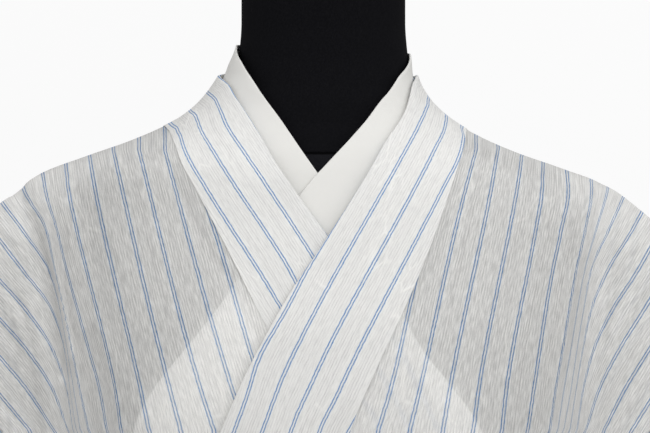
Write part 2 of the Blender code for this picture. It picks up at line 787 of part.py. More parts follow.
def sleeve_top(side, along):
    """The sleeve's top fold, which goes on from the shoulder line and hangs steeper."""
    across, height = shoulder_point(side, SLEEVE_SEAM)
    steps = 16
    for step in range(steps):
        part = (step + 0.5) / steps * along / SLEEVE_WIDTH
        slope = SLEEVE_TOP_SLOPE[0] + (SLEEVE_TOP_SLOPE[1] - SLEEVE_TOP_SLOPE[0]) * part
        across += side * math.cos(math.radians(slope)) * along / steps
        height -= math.sin(math.radians(slope)) * along / steps
    return across, height


def sleeve_inner_edge(side, face):
    """The sleeve's edge on the body side: the armhole seam, then the open edge below it."""
    levels = FRONT_LEVELS[:ARMHOLE_LEVEL + 1]
    points = [np.array(level_body_point(side, face, 1.0, level)) for level in levels]
    lengths = [0.0]
    for before, after in zip(points, points[1:]):
        lengths.append(lengths[-1] + float(np.linalg.norm(after - before)))
    seam_end = points[-1]
    hanging = SLEEVE_DROP - lengths[-1]
    for part in np.linspace(0, 1, 8)[1:]:
        across = read(SLEEVE_INNER_EDGE, SLEEVE_HANG_COLUMNS, "across", part)
        half_gap = read(SLEEVE_INNER_EDGE, SLEEVE_HANG_COLUMNS, "half_gap", part)
        points.append(np.array((side * across, -face * half_gap, seam_end[2] - hanging * part)))
        lengths.append(lengths[-1] + hanging / 7)
    return points, lengths


def corner_cut(along):
    """How much the sleeve's rounded lower corner takes off its drop."""
    past = max(along - (SLEEVE_WIDTH - SLEEVE_CORNER_RADIUS), 0.0)
    return SLEEVE_CORNER_RADIUS - math.sqrt(max(SLEEVE_CORNER_RADIUS ** 2 - past ** 2, 0.0))


def sleeve_ring(side, along):
    """One loop of the sleeve: down the front, under the bottom and up the back."""
    part = along / SLEEVE_WIDTH
    start_across, start_height = sleeve_top(side, 0.0)
    start = np.array((start_across, 0.0, start_height))
    top_across, top_height = sleeve_top(side, along)
    folds = along - column(SLEEVE_FOLDS, SLEEVE_FOLD_COLUMNS, "place")
    depths = column(SLEEVE_FOLDS, SLEEVE_FOLD_COLUMNS, "depth")
    sway = float(np.sum(depths * np.exp(-(folds / SLEEVE_FOLD_SPREAD) ** 2)))
    faces = []
    for face in (1, -1):
        points, lengths = sleeve_inner_edge(side, face)
        layer = []
        for point, length in zip(points, lengths):
            down = length / lengths[-1]
            full = length
            length -= corner_cut(along) * down ** 3
            tip = math.radians(CUFF_INWARD)
            inner = (point - start) * length / max(full, 1e-9)
            outer = np.array((-side * math.sin(tip) * length, 0, -math.cos(tip) * length))
            offset = inner * (1 - part) + outer * part
            closing = ease(length, CUFF_OPENING - 0.04, CUFF_OPENING + 0.05)
            cuff_gap = 0.016 * math.sin(min(length / CUFF_OPENING, 1.0) * math.pi) ** 0.6
            cuff_gap = max(cuff_gap * (1 - closing), 0.0030)
            soft = ease(part, 0.0, 0.35)
            middle_gap = 0.007 + 0.012 * math.sin(math.pi * min(down * 1.15, 1.0))
            loose = middle_gap * (1 - part ** 3) + cuff_gap * part ** 3
            gap = abs(point[1]) * (1 - soft) + loose * soft * min(length / 0.04, 1.0) ** 0.5
            depth = -face * gap + sway * ease(length, 0.02, 0.30) * ease(part, 0.0, 0.15)
            layer.append((top_across + offset[0], depth, top_height + offset[2]))
        faces.append(layer)
    front, back = faces
    low = (np.array(front[-1]) + np.array(back[-1])) / 2 - np.array((0, 0, 0.005))
    return front + [tuple(low)] + list(reversed(back))[:-1]


def sleeve(name, side, material):
    rows = []
    for place in SLEEVE_PLACES:
        rows.append([tilted(point) for point in sleeve_ring(side, place)])
    second = rows[1]
    first = []
    for point, beyond in zip(rows[0], second):
        run = np.array(beyond) - np.array(point)
        first.append(tuple(np.array(point) + run / np.linalg.norm(run) * SLEEVE_SEAM_SET_OFF))
    rows[0] = first
    return finish_object(name, grid_mesh(rows, closed=True), material, CLOTH_WALL)


def sash_band(name, material):
    """A plain band round the waist, pressed on the fronts."""
    rows = []
    for height in (SASH_BOTTOM, SASH_MIDDLE, SASH_TOP):
        section = Section.at(height)
        ways = np.linspace(section.lengths[0], section.lengths[-1], 61)[:-1]
        rows.append([(*section.point(way, SASH_OUT), height) for way in ways])
    return finish_object(name, grid_mesh(rows, closed=True), material, SASH_WALL)


def form_ring(height):
    half_width = read(FORM_SECTIONS, FORM_COLUMNS, "half_width", height)
    half_depth = read(FORM_SECTIONS, FORM_COLUMNS, "half_depth", height)
    centre = read(FORM_SECTIONS, FORM_COLUMNS, "centre_y", height)
    ring = []
    for step in range(FORM_SIDES):
        turn = 2 * math.pi * step / FORM_SIDES
        across = half_width * signed_power(math.cos(turn), 2 / FORM_POWER)
        along = centre + half_depth * signed_power(math.sin(turn), 2 / FORM_POWER)
        ring.append((across, along, height))
    return ring


def fill_ends(mesh_builder):
    edges = [edge for edge in mesh_builder.edges if edge.is_boundary]
    bmesh.ops.holes_fill(mesh_builder, edges=edges, sides=0)


def form_torso(name, material):
    """A smooth closed torso and neck, flat underneath."""
    rows = [form_ring(height) for height in column(FORM_SECTIONS, FORM_COLUMNS, "height")]
    solid = grid_mesh(rows, closed=True)
    fill_ends(solid)
    return finish_object(name, solid, material)


def turned(name, profile, material):
    """A round piece from its radii and heights, bottom to top."""
    rows = []
    for radius, height in profile:
        turns = [2 * math.pi * step / ROUND_SIDES for step in range(ROUND_SIDES)]
        rows.append([(radius * math.cos(turn), radius * math.sin(turn), height) for turn in turns])
    solid = grid_mesh(rows, closed=True)
    fill_ends(solid)
    return finish_object(name, solid, material)


def stand(metal, cover):
    base_top = BASE_HEIGHT
    turned("form_base", (
        (BASE_RADIUS, 0.0),
        (BASE_RADIUS, base_top - 0.005),
        (BASE_RADIUS - 0.006, base_top),
        (POLE_COLLAR_RADIUS, base_top + 0.003),
        (POLE_COLLAR_RADIUS, base_top + POLE_COLLAR_HEIGHT),
    ), metal)
    turned("form_pole", (
        (POLE_RADIUS, base_top + POLE_COLLAR_HEIGHT + SEAM_GAP),
        (POLE_RADIUS, FORM_SECTIONS[0][0] - SEAM_GAP),
    ), metal)
    top = FORM_SECTIONS[-1][0] + SEAM_GAP
    turned("form_neck_cap", (
        (NECK_CAP_RADIUS, top),
        (NECK_CAP_RADIUS, top + NECK_CAP_HEIGHT - 0.003),
        (NECK_CAP_RADIUS - 0.003, top + NECK_CAP_HEIGHT),
    ), cover)


def clear_scene():
    for existing in list(bpy.data.objects):
        bpy.data.objects.remove(existing)


clear_scene()
crepe = plain_material("striped_crepe", (0.80, 0.81, 0.82), 0.85)
white = plain_material("white_collar_cloth", (0.86, 0.86, 0.83), 0.8)
band = plain_material("sash_cloth", (0.78, 0.78, 0.76), 0.8)
black = plain_material("form_cover", (0.012, 0.012, 0.014), 0.9)
steel = plain_material("stand_metal", (0.05, 0.05, 0.055), 0.4, 0.8)

body_panel("body_left", WEARERS_LEFT, crepe)
body_panel("body_right", WEARERS_RIGHT, crepe)
overlap_panel("overlap_left", WEARERS_LEFT, crepe)
overlap_panel("overlap_right", WEARERS_RIGHT, crepe)
collar_band("collar", crepe)
sleeve("sleeve_left", WEARERS_LEFT, crepe)
sleeve("sleeve_right", WEARERS_RIGHT, crepe)
sash_band("sash", band)
inner_collar("inner_collar", white)
form_torso("form_torso", black)
stand(steel, black)
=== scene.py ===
import math

import bmesh
import bpy
import numpy as np
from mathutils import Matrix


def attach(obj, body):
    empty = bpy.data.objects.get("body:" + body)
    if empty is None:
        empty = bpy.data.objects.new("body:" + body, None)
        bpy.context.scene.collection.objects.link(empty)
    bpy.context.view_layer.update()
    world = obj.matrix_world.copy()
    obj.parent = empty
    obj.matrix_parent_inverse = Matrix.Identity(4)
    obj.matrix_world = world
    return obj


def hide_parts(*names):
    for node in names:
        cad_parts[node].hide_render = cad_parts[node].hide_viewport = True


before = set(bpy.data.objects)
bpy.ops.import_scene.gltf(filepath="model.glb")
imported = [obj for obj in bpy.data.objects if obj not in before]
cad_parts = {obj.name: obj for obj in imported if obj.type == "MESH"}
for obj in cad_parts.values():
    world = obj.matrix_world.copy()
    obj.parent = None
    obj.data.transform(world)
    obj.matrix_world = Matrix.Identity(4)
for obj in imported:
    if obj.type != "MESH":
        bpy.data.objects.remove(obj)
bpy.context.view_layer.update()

# The room: a grey floor, soft daylight that comes mostly from the front, the right and above, and a
# white wall straight behind, which is seen past the cloth and not through it. The camera stands
# level with the chest, a long way back in front.
FLOOR_RADIUS = 14.0
CAMERA_DISTANCE = 9.0
PICTURE_WIDTH = 0.4355
PICTURE_CENTRE = (0.0011, 1.3245)
PICTURE_PLANE = -0.03


class NodeTree:
    """The nodes of a material or of the world."""

    def __init__(self, tree):
        self.nodes, self.links = tree.nodes, tree.links

    def give(self, socket, value):
        """Link an input to another node's output, or set it to a plain value."""
        if isinstance(value, bpy.types.NodeSocket):
            self.links.new(value, socket)
        elif socket.type == "RGBA":
            socket.default_value = (*value, 1)
        else:
            socket.default_value = value

    def add(self, kind, output, inputs=None, **settings):
        """Make one node, and give back the output that is wanted from it."""
        node = self.nodes.new("ShaderNode" + kind)
        for setting, value in settings.items():
            setattr(node, setting, value)
        for name, value in (inputs or {}).items():
            self.give(node.inputs[name], value)
        return node.outputs[output]

    def maths(self, operation, *values):
        return self.add("Math", "Value", dict(enumerate(values)), operation=operation)

    def ranged(self, value, start, end, low=0.0, high=1.0):
        return self.add("MapRange", "Result", {"Value": value, "From Min": start, "From Max": end,
                                               "To Min": low, "To Max": high})

    def mixed(self, first, second, share):
        return self.add("Mix", "Result", {"A": first, "B": second, "Factor": share},
                        data_type="RGBA")

    def bump(self, height, strength, distance):
        return self.add("Bump", "Normal",
                        {"Height": height, "Strength": strength, "Distance": distance})

    def shader(self, inputs):
        for name, value in inputs.items():
            self.give(self.nodes["Principled BSDF"].inputs[name], value)


def new_material(name):
    material = bpy.data.materials.new(name)
    material.use_nodes = True
    return material, NodeTree(material.node_tree)


floor_builder = bmesh.new()
bmesh.ops.create_circle(floor_builder, cap_ends=True, segments=96, radius=FLOOR_RADIUS)
floor_mesh = bpy.data.meshes.new("floor")
floor_builder.to_mesh(floor_mesh)
floor_builder.free()
floor = bpy.data.objects.new("floor", floor_mesh)
bpy.context.scene.collection.objects.link(floor)
floor_paint, floor_nodes = new_material("grey_floor")
floor_nodes.shader({"Base Color": (0.34, 0.34, 0.335), "Roughness": 0.75})
floor_mesh.materials.append(floor_paint)

world = bpy.data.worlds.new("soft_daylight")
bpy.context.scene.world = world
world.use_nodes = True
sky = NodeTree(world.node_tree)
sky_way = sky.add("TexCoord", "Generated")
light_slope = sky.add("VectorMath", "Value", {0: sky_way, 1: (0.20, -0.70, 0.40)},
                      operation="DOT_PRODUCT")
wall_slope = sky.add("VectorMath", "Value", {0: sky_way, 1: (0.0, 1.0, 0.0)},
                     operation="DOT_PRODUCT")
past_cloth = sky.maths("LESS_THAN", sky.add("LightPath", "Transparent Depth"), 0.5)
sky_back = sky.nodes["Background"]
sky.give(sky_back.inputs["Color"], (1.0, 1.0, 1.0))
sky.give(sky_back.inputs["Strength"], sky.maths(
    "MULTIPLY_ADD", sky.ranged(wall_slope, 0.95, 0.99, 0.0, 0.805), past_cloth,
    sky.ranged(light_slope, -0.8, 0.8, 0.06, 1.54)))

window_light = bpy.data.lights.new("window", "AREA")
window_light.energy = 9
window_light.size = 1.4
window = bpy.data.objects.new("window", window_light)
window.location = (0.7, -2.7, 2.3)
window.rotation_euler = (math.radians(70), 0, math.radians(15))
bpy.context.scene.collection.objects.link(window)

camera_data = bpy.data.cameras.new("camera")
camera_data.sensor_width = 36
camera_data.lens = 36 * CAMERA_DISTANCE / PICTURE_WIDTH
camera_data.clip_end = 100
camera = bpy.data.objects.new("camera", camera_data)
camera.location = (PICTURE_CENTRE[0], PICTURE_PLANE - CAMERA_DISTANCE, PICTURE_CENTRE[1])
camera.rotation_euler = (math.radians(90), 0, 0)
bpy.context.scene.collection.objects.link(camera)
bpy.context.scene.camera = camera
bpy.context.scene.view_settings.view_transform = "Standard"

# The stand: a heavy round steel plate with a raised boss, and a straight pole that goes up into
# the torso. Both are turned and painted satin black, so each is one profile spun round the axis.
BASE_PROFILE = (
    (0.0, 0.0), (0.1740, 0.0), (0.1785, 0.0012), (0.1800, 0.0040), (0.1800, 0.0095),
    (0.1785, 0.0124), (0.1740, 0.0140), (0.1000, 0.0148), (0.0340, 0.0158), (0.0262, 0.0180),
    (0.0240, 0.0230), (0.0240, 0.0560), (0.0228, 0.0586), (0.0150, 0.0590), (0.0, 0.0590),
)
POLE_PROFILE = ((0.0, 0.0593), (0.0125, 0.0593), (0.0125, 0.42), (0.0125, 0.7997), (0.0, 0.7997))
SPIN_STEPS = 96


def metal_paint():
    """Satin black paint with a fine orange-peel surface and a few dull rubbed patches."""
    paint, make = new_material("stand_paint")
    place = make.add("TexCoord", "Object")
    rub = make.add("TexNoise", "Fac", {"Vector": place, "Scale": 22, "Detail": 4})
    peel = make.add("TexNoise", "Fac", {"Vector": place, "Scale": 650})
    make.shader({"Base Color": (0.018, 0.018, 0.020),
                 "Roughness": make.ranged(rub, 0.0, 1.0, 0.30, 0.46),
                 "Normal": make.bump(peel, 0.08, 0.0005)})
    return paint


def placed(name, mesh_builder, finish, slot, node):
    """Make a finished piece from a mesh under construction, riding on the one rigid body."""
    mesh = bpy.data.meshes.new(name)
    mesh_builder.to_mesh(mesh)
    mesh_builder.free()
    mesh.shade_smooth()
    mesh.set_sharp_from_angle(angle=math.radians(48))
    mesh.materials.append(finish)
    piece = bpy.data.objects.new(name, mesh)
    bpy.context.scene.collection.objects.link(piece)
    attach(piece, "root")
    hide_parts(node)
    return piece


def spun(name, profile, finish, slot, node):
    builder = bmesh.new()
    points = [builder.verts.new((radius, 0, height)) for radius, height in profile]
    edges = [builder.edges.new(pair) for pair in zip(points, points[1:])]
    bmesh.ops.spin(builder, geom=points + edges, cent=(0, 0, 0), axis=(0, 0, 1),
                   angle=math.tau, steps=SPIN_STEPS, use_merge=True)
    bmesh.ops.remove_doubles(builder, verts=builder.verts, dist=1e-6)
    bmesh.ops.recalc_face_normals(builder, faces=builder.faces)
    return placed(name, builder, finish, slot, node)


black_paint = metal_paint()
spun("stand_base", BASE_PROFILE, black_paint, "stand_metal", "form_base")
spun("stand_pole", POLE_PROFILE, black_paint, "stand_metal", "form_pole")

# The torso: a limbless dress form, a padded shell under a tight black knitted cover. A flat seam
# runs round the foot of the neck, and a flat turned cap closes the top.
FORM_POWER = 2.2


def named_columns(names, rows):
    return dict(zip(names.split(), np.array(rows, dtype=float).T))


FORM_SECTIONS = named_columns("height half_width half_depth centre_y", (
    (0.800, 0.1480, 0.106, 0.004),
    (0.830, 0.1525, 0.109, 0.004),
    (0.900, 0.1480, 0.107, 0.004),
    (0.970, 0.1320, 0.098, 0.003),
    (1.030, 0.1220, 0.090, 0.000),
    (1.080, 0.1270, 0.095, -0.003),
    (1.140, 0.1400, 0.104, -0.009),
    (1.190, 0.1560, 0.112, -0.012),
    (1.240, 0.1680, 0.109, -0.011),
    (1.290, 0.1740, 0.099, -0.008),
    (1.322, 0.1740, 0.091, -0.005),
    (1.340, 0.1690, 0.085, -0.003),
    (1.3525, 0.1570, 0.080, -0.002),
    (1.3610, 0.1370, 0.075, -0.001),
    (1.3690, 0.1130, 0.070, 0.000),
    (1.3780, 0.0970, 0.067, 0.001),
    (1.3880, 0.0820, 0.064, 0.002),
    (1.400, 0.0690, 0.0615, 0.002),
    (1.415, 0.0593, 0.0586, 0.003),
    (1.435, 0.0565, 0.0560, 0.004),
    (1.455, 0.0551, 0.0546, 0.004),
    (1.498, 0.0551, 0.0546, 0.004),
))
FORM_SIDES = 144
FORM_SHOULDER = 1.335
FORM_EDGE_ROUNDING = 0.010
NECK_SEAM_FRONT = 1.3666
NECK_SEAM_BACK = 1.4080
NECK_SEAM_WIDTH = 0.0009
NECK_SEAM_DEPTH = 0.0012
NECK_CAP_PROFILE = (
    (0.0, 1.4983), (0.0500, 1.4983), (0.0525, 1.4996), (0.0525, 1.5052), (0.0512, 1.5075),
    (0.0485, 1.5083), (0.0, 1.5083),
)


def curved(part, near, far, leaving, arriving):
    """A cubic from near to far that leaves and arrives on these slopes."""
    square, cube = part ** 2, part ** 3
    return ((2 * cube - 3 * square + 1) * near + (cube - 2 * square + part) * leaving
            + (3 * square - 2 * cube) * far + (cube - square) * arriving)


def smooth_read(at, places, values):
    """Read a table between its rows, on a smooth curve that never overshoots."""
    places, values = np.asarray(places, float), np.asarray(values, float)
    at = np.clip(np.asarray(at, float), places[0], places[-1])
    slopes = np.diff(values) / np.diff(places)
    before = np.concatenate((slopes[:1], slopes))
    after = np.concatenate((slopes, slopes[-1:]))
    alike = before * after > 0
    tangents = np.where(alike, 2 * before * after / np.where(alike, before + after, 1), 0)
    index = np.clip(np.searchsorted(places, at) - 1, 0, len(slopes) - 1)
    width = places[index + 1] - places[index]
    return curved((at - places[index]) / width, values[index], values[index + 1],
                  width * tangents[index], width * tangents[index + 1])


def read(table, name, at):
    """Read one column of a table against its first column."""
    return smooth_read(at, next(iter(table.values())), table[name])


def ease(value, start, end):
    """0 before start, 1 after end, and soft in between."""
    part = np.clip((value - start) / (end - start), 0, 1)
    return part * part * (3 - 2 * part)


def stacked(*parts):
    """Arrays spread to one shape and put side by side, as coordinates."""
    return np.stack(np.broadcast_arrays(*parts), axis=-1)


def signed_power(value, power):
    return np.sign(value) * np.abs(value) ** power


def sheet_mesh(name, points, cloth):
    """A grid of cloth or skin through rows of points, with its place on the flat cloth as UV."""
    rows, columns = points.shape[:2]
    builder = bmesh.new()
    bmesh.ops.create_grid(builder, x_segments=columns - 1, y_segments=rows - 1, size=1)
    mesh = bpy.data.meshes.new(name)
    builder.to_mesh(mesh)
    builder.free()
    mesh.vertices.foreach_set("co", points.reshape(-1).astype(np.float32))
    corners = np.empty(len(mesh.loops), dtype=np.int32)
    mesh.loops.foreach_get("vertex_index", corners)
    layer = mesh.uv_layers.new(name="cloth")
    layer.data.foreach_set("uv", cloth.reshape(-1, 2)[corners].reshape(-1).astype(np.float32))
    return mesh


def rolled(mesh, fill=False):
    """Close a grid whose last column lies on its first, and cap its ends where it is solid."""
    builder = bmesh.new()
    builder.from_mesh(mesh)
    bmesh.ops.remove_doubles(builder, verts=builder.verts, dist=2e-6)
    if fill:
        ends = [edge for edge in builder.edges if edge.is_boundary]
        bmesh.ops.holes_fill(builder, edges=ends, sides=0)
    bmesh.ops.recalc_face_normals(builder, faces=builder.faces)
    return builder


def form_points():
    """Rows up the form, close together round its lower edge and at the foot of the neck."""
    edge = FORM_SECTIONS["height"][0] + FORM_EDGE_ROUNDING * (1 - np.cos(np.linspace(0, np.pi / 2, 7)))
    lower = np.linspace(edge[-1], FORM_SHOULDER, 110)[1:]
    upper = np.linspace(FORM_SHOULDER, FORM_SECTIONS["height"][-1], 190)[1:]
    heights = np.concatenate((edge, lower, upper))[:, None]
    turns = np.linspace(0, 2 * np.pi, FORM_SIDES + 1)[None, :]
    half_width = read(FORM_SECTIONS, "half_width", heights)
    half_depth = read(FORM_SECTIONS, "half_depth", heights)
    centre = read(FORM_SECTIONS, "centre_y", heights)
    up = np.clip((heights - FORM_SECTIONS["height"][0]) / FORM_EDGE_ROUNDING, 0, 1)
    inset = FORM_EDGE_ROUNDING * (1 - np.sqrt(np.clip(1 - (1 - up) ** 2, 0, 1)))
    middle = (NECK_SEAM_FRONT + NECK_SEAM_BACK) / 2
    seam = middle + (NECK_SEAM_BACK - NECK_SEAM_FRONT) / 2 * np.sin(turns)
    groove = NECK_SEAM_DEPTH * np.exp(-((heights - seam) / NECK_SEAM_WIDTH) ** 2)
    across = (half_width - inset - groove) * signed_power(np.cos(turns), 2 / FORM_POWER)
    along = centre + (half_depth - inset - groove) * signed_power(np.sin(turns), 2 / FORM_POWER)
    return stacked(across, along, heights), stacked(0.15 * turns, heights - seam)


def knitted_cover():
    """Black jersey: tiny knitted ribs, almost no shine, cut a tone paler below the neck seam."""
    cover, make = new_material("form_jersey")
    place = make.add("TexCoord", "Object")
    lint = make.add("TexNoise", "Fac", {"Vector": place, "Scale": 900, "Detail": 3})
    tone = make.mixed((0.0036, 0.0036, 0.0046), (0.0062, 0.0062, 0.0074),
                      make.ranged(lint, 0.35, 0.75))
    flat = make.add("UVMap", "UV", uv_map="cloth")
    above_seam = make.add("SeparateXYZ", "Y", {"Vector": flat})
    depth = make.maths("ADD", make.ranged(above_seam, -0.0012, -0.0004, 1.9, 0.25),
                       make.ranged(above_seam, 0.0003, 0.0011, 0.0, 0.75))
    ribs = make.add("TexWave", "Fac", {"Vector": place, "Scale": 380, "Distortion": 1.2},
                    bands_direction="X")
    make.shader({"Base Color": make.add("VectorMath", "Vector", {0: tone, "Scale": depth},
                                        operation="SCALE"),
                 "Roughness": 0.92, "Specular IOR Level": 0.04,
                 "Normal": make.bump(ribs, 0.25, 0.0003)})
    return cover


black_jersey = knitted_cover()
placed("torso", rolled(sheet_mesh("torso", *form_points()), fill=True), black_jersey,
       "form_cover", "form_torso")
neck_cap = spun("neck_cap", NECK_CAP_PROFILE, black_jersey, "form_cover", "form_neck_cap")
cap_flat = neck_cap.data.uv_layers.new(name="cloth")
cap_flat.data.foreach_set("uv", (0.0, 0.01) * len(neck_cap.data.loops))

# The white inner collar: plain cotton, folded over at the neckline so that its edge is a soft
# roll. Its flaps cross on the chest under the kimono, and show through it as a paler field. They
# are a whiter cloth, and are painted brighter still: painted light for what the crepe lets through.
WEARERS_LEFT = 1
WEARERS_RIGHT = -1
SIDES = {WEARERS_LEFT: "left", WEARERS_RIGHT: "right"}
SASH_TOP = 1.090
SASH_MIDDLE = 1.055
SASH_BOTTOM = 1.020
SHOULDER_TILT = 0.0040
TILT_ACROSS = (0.035, 0.070)
TILT_HEIGHT = (1.10, 1.25)
COLLAR_SET_OFF = 0.0020
SET_OFF_STARTS = (1.385, 1.410)
SET_OFF_ENDS = (1.420, 1.436)
SECTION_POWER = 2.3
CLOTH_SECTIONS = named_columns("height half_width front_depth back_depth", (
    (0.070, 0.1480, 0.116, 0.116),
    (0.450, 0.1560, 0.122, 0.122),
    (0.840, 0.1680, 0.128, 0.126),
    (0.960, 0.1520, 0.116, 0.112),
    (1.055, 0.1420, 0.112, 0.105),
    (1.110, 0.1520, 0.125, 0.106),
    (1.180, 0.1700, 0.144, 0.110),
    (1.240, 0.1800, 0.138, 0.110),
    (1.290, 0.1840, 0.124, 0.108),
    (1.325, 0.1840, 0.112, 0.105),
    (1.352, 0.1760, 0.100, 0.103),
    (1.367, 0.1437, 0.091, 0.100),
    (1.378, 0.1145, 0.083, 0.096),
    (1.388, 0.0945, 0.077, 0.092),
    (1.400, 0.0792, 0.072, 0.088),
    (1.411, 0.0704, 0.069, 0.085),
    (1.4195, 0.0660, 0.066, 0.083),
    (1.430, 0.0629, 0.065, 0.082),
    (1.440, 0.0609, 0.064, 0.081),
))
# Soft folds of the skirt: bearing and spread in degrees, and depth
SKIRT_FOLDS = (
    (58, 13, 0.0060),
    (96, 12, -0.0050),
    (128, 15, 0.0065),
    (171, 13, -0.0045),
    (212, 14, 0.0060),
    (249, 11, -0.0050),
    (291, 14, 0.0055),
)
FOLD_TOP = 1.00
FOLD_FULL = 0.35
NORMAL_REACH = 0.004
NAPE = named_columns("around seam_height edge_height inner_edge_height", (
    (0.00, 1.3856, 1.4195, 1.4360),
    (0.35, 1.3800, 1.4195, 1.4370),
    (0.70, 1.3680, 1.4190, 1.4310),
    (1.00, 1.3610, 1.4150, 1.4200),
))
INNER_FLAPS = {
    WEARERS_LEFT: named_columns("edge_height edge_across outer_height outer_across", (
        (1.0950, -0.0300, 1.0700, 0.1150),
        (1.1600, -0.0300, 1.1250, 0.1300),
        (1.2200, -0.0300, 1.1801, 0.1123),
        (1.2700, -0.0310, 1.2163, 0.0872),
        (1.3100, -0.0310, 1.2652, 0.0540),
        (1.3389, -0.0150, 1.3000, 0.0560),
        (1.3575, 0.0011, 1.3300, 0.0660),
        (1.3720, 0.0149, 1.3520, 0.0740),
        (1.3943, 0.0359, 1.3720, 0.0800),
        (1.4082, 0.0490, 1.3800, 0.0840),
    )),
    WEARERS_RIGHT: named_columns("edge_height edge_across outer_height outer_across", (
        (1.0950, -0.0350, 1.0700, 0.1150),
        (1.1600, -0.0350, 1.1250, 0.1380),
        (1.2200, -0.0350, 1.1794, 0.1349),
        (1.2700, -0.0360, 1.2330, 0.0957),
        (1.3000, -0.0360, 1.2846, 0.0568),
        (1.3300, -0.0140, 1.3050, 0.0600),
        (1.3518, 0.0033, 1.3300, 0.0680),
        (1.3784, 0.0224, 1.3520, 0.0760),
        (1.3970, 0.0358, 1.3720, 0.0830),
        (1.4166, 0.0498, 1.3800, 0.0870),
    )),
}
INNER_OUTER_TOP = 1.3900
INNER_CHEST_OUT = {WEARERS_LEFT: -0.0092, WEARERS_RIGHT: -0.0123}
INNER_SHOULDER_OUT = -0.0058
INNER_NECK_OUT = -0.0034
INNER_SHOULDER_HEIGHT = (1.335, 1.385)
INNER_NECK_HEIGHT = (1.395, 1.425)
INNER_NAPE_STATIONS = (0.0, 0.1, 0.23, 0.38, 0.54, 0.69, 0.85, 1.0)
INNER_ROLL = 0.0007
INNER_TURN_BACK = 0.45
FLAP_LENGTH = 0.14


def summed(steps):
    """Running totals along the last axis, from zero."""
    return np.concatenate((0 * steps[..., :1], np.cumsum(steps, axis=-1)), axis=-1)


def step_lengths(points, axis):
    return np.linalg.norm(np.diff(points, axis=axis), axis=-1)


def unit(ways):
    return ways / np.linalg.norm(ways, axis=-1, keepdims=True)


class DrapeSurface:
    """The figure the cloth lies on: points by the way round from the centre front, and height."""

    def __init__(self):
        self.heights = np.linspace(0.060, 1.450, 464)
        bearings = np.linspace(-np.pi, np.pi, 721)
        tall = self.heights[:, None]
        half_width = read(CLOTH_SECTIONS, "half_width", tall)
        front = read(CLOTH_SECTIONS, "front_depth", tall)
        back = read(CLOTH_SECTIONS, "back_depth", tall)
        across = half_width * signed_power(np.sin(bearings), 2 / SECTION_POWER)
        depth = np.where(np.cos(bearings) > 0, front, back)
        along = -depth * signed_power(np.cos(bearings), 2 / SECTION_POWER)
        strength = 1 - ease(tall, FOLD_FULL, FOLD_TOP)
        swell = 1 + strength * self.folds(np.degrees(bearings)) / half_width
        places = stacked(across * swell, along * swell)
        lengths = summed(step_lengths(places, 1))
        lengths -= lengths[:, 360:361]
        self.start, self.end = lengths[:, 0], lengths[:, -1]
        self.sides = {WEARERS_LEFT: lengths[:, 540], WEARERS_RIGHT: -lengths[:, 180]}
        self.even = np.empty((len(self.heights), 721, 2))
        for row, (length, place) in enumerate(zip(lengths, places)):
            ways = np.linspace(length[0], length[-1], 721)
            for axis in (0, 1):
                self.even[row, :, axis] = np.interp(ways, length, place[:, axis])

    @staticmethod
    def folds(degrees):
        total = 0 * degrees
        for bearing, spread, depth in SKIRT_FOLDS:
            apart = (degrees - bearing + 180) % 360 - 180
            total = total + depth * np.exp(-(apart / spread) ** 2)
        return total

    def side_way(self, side, height):
        return np.interp(height, self.heights, self.sides[side])

    def back_way(self, side, height):
        far = self.end if side == WEARERS_LEFT else -self.start
        return np.interp(height, self.heights, far)

    def place(self, way, height):
        way, height = np.broadcast_arrays(np.asarray(way, float), np.asarray(height, float))
        step = self.heights[1] - self.heights[0]
        at = np.clip((height - self.heights[0]) / step, 0, len(self.heights) - 1.001)
        row = at.astype(int)
        total = 0
        for offset, share in ((0, 1 - (at - row)), (1, at - row)):
            start, end = self.start[row + offset], self.end[row + offset]
            round_at = ((way - start) % (end - start)) / (end - start) * 720
            slot = np.minimum(round_at.astype(int), 719)
            part = (round_at - slot)[..., None]
            near, far = self.even[row + offset, slot], self.even[row + offset, slot + 1]
            total = total + (near * (1 - part) + far * part) * share[..., None]
        return total

    def point(self, side, way, height, out=0.0):
        way, height = np.broadcast_arrays(side * np.asarray(way, float), np.asarray(height, float))
        here = self.place(way, height)
        run = unit(self.place(way + NORMAL_REACH, height) - self.place(way - NORMAL_REACH, height))
        return stacked(here[..., 0] + out * run[..., 1], here[..., 1] - out * run[..., 0], height)

    def front_way(self, side, across, height):
        """Way round from the centre front to a front point this far to the wearer's given side."""
        across, height = np.broadcast_arrays(np.asarray(across, float), np.asarray(height, float))
        low, high = -self.side_way(-side, height), self.side_way(side, height)
        for _ in range(34):
            middle = (low + high) / 2
            below = side * self.place(side * middle, height)[..., 0] < across
            low, high = np.where(below, middle, low), np.where(below, high, middle)
        return (low + high) / 2


def tilted(points):
    """The right shoulder sits a little higher than the left, and the collar a little towards it."""
    across, height = points[..., 0], points[..., 2]
    wrinkle_highlighted = points.copy()
    wrinkle_highlighted[..., 2] -= np.sign(across) * SHOULDER_TILT * (
        ease(np.abs(across), *TILT_ACROSS) * ease(height, *TILT_HEIGHT))
    wrinkle_highlighted[..., 0] -= COLLAR_SET_OFF * ease(height, *SET_OFF_STARTS) * (
        1 - ease(height, *SET_OFF_ENDS))
    return wrinkle_highlighted


def inner_out(side, height):
    chest = INNER_CHEST_OUT[side]
    out = chest + (INNER_SHOULDER_OUT - chest) * ease(height, *INNER_SHOULDER_HEIGHT)
    return out + (INNER_NECK_OUT - INNER_SHOULDER_OUT) * ease(height, *INNER_NECK_HEIGHT)


def finer(rows, count):
    """More rows between control rows, on a smooth curve through them."""
    at = np.linspace(0, len(rows) - 1, count)
    index = np.clip(at.astype(int), 0, len(rows) - 2)
    part = (at - index)[(...,) + (None,) * (rows.ndim - 1)]
    slopes = np.gradient(rows, axis=0)
    return curved(part, rows[index], rows[index + 1], slopes[index], slopes[index + 1])


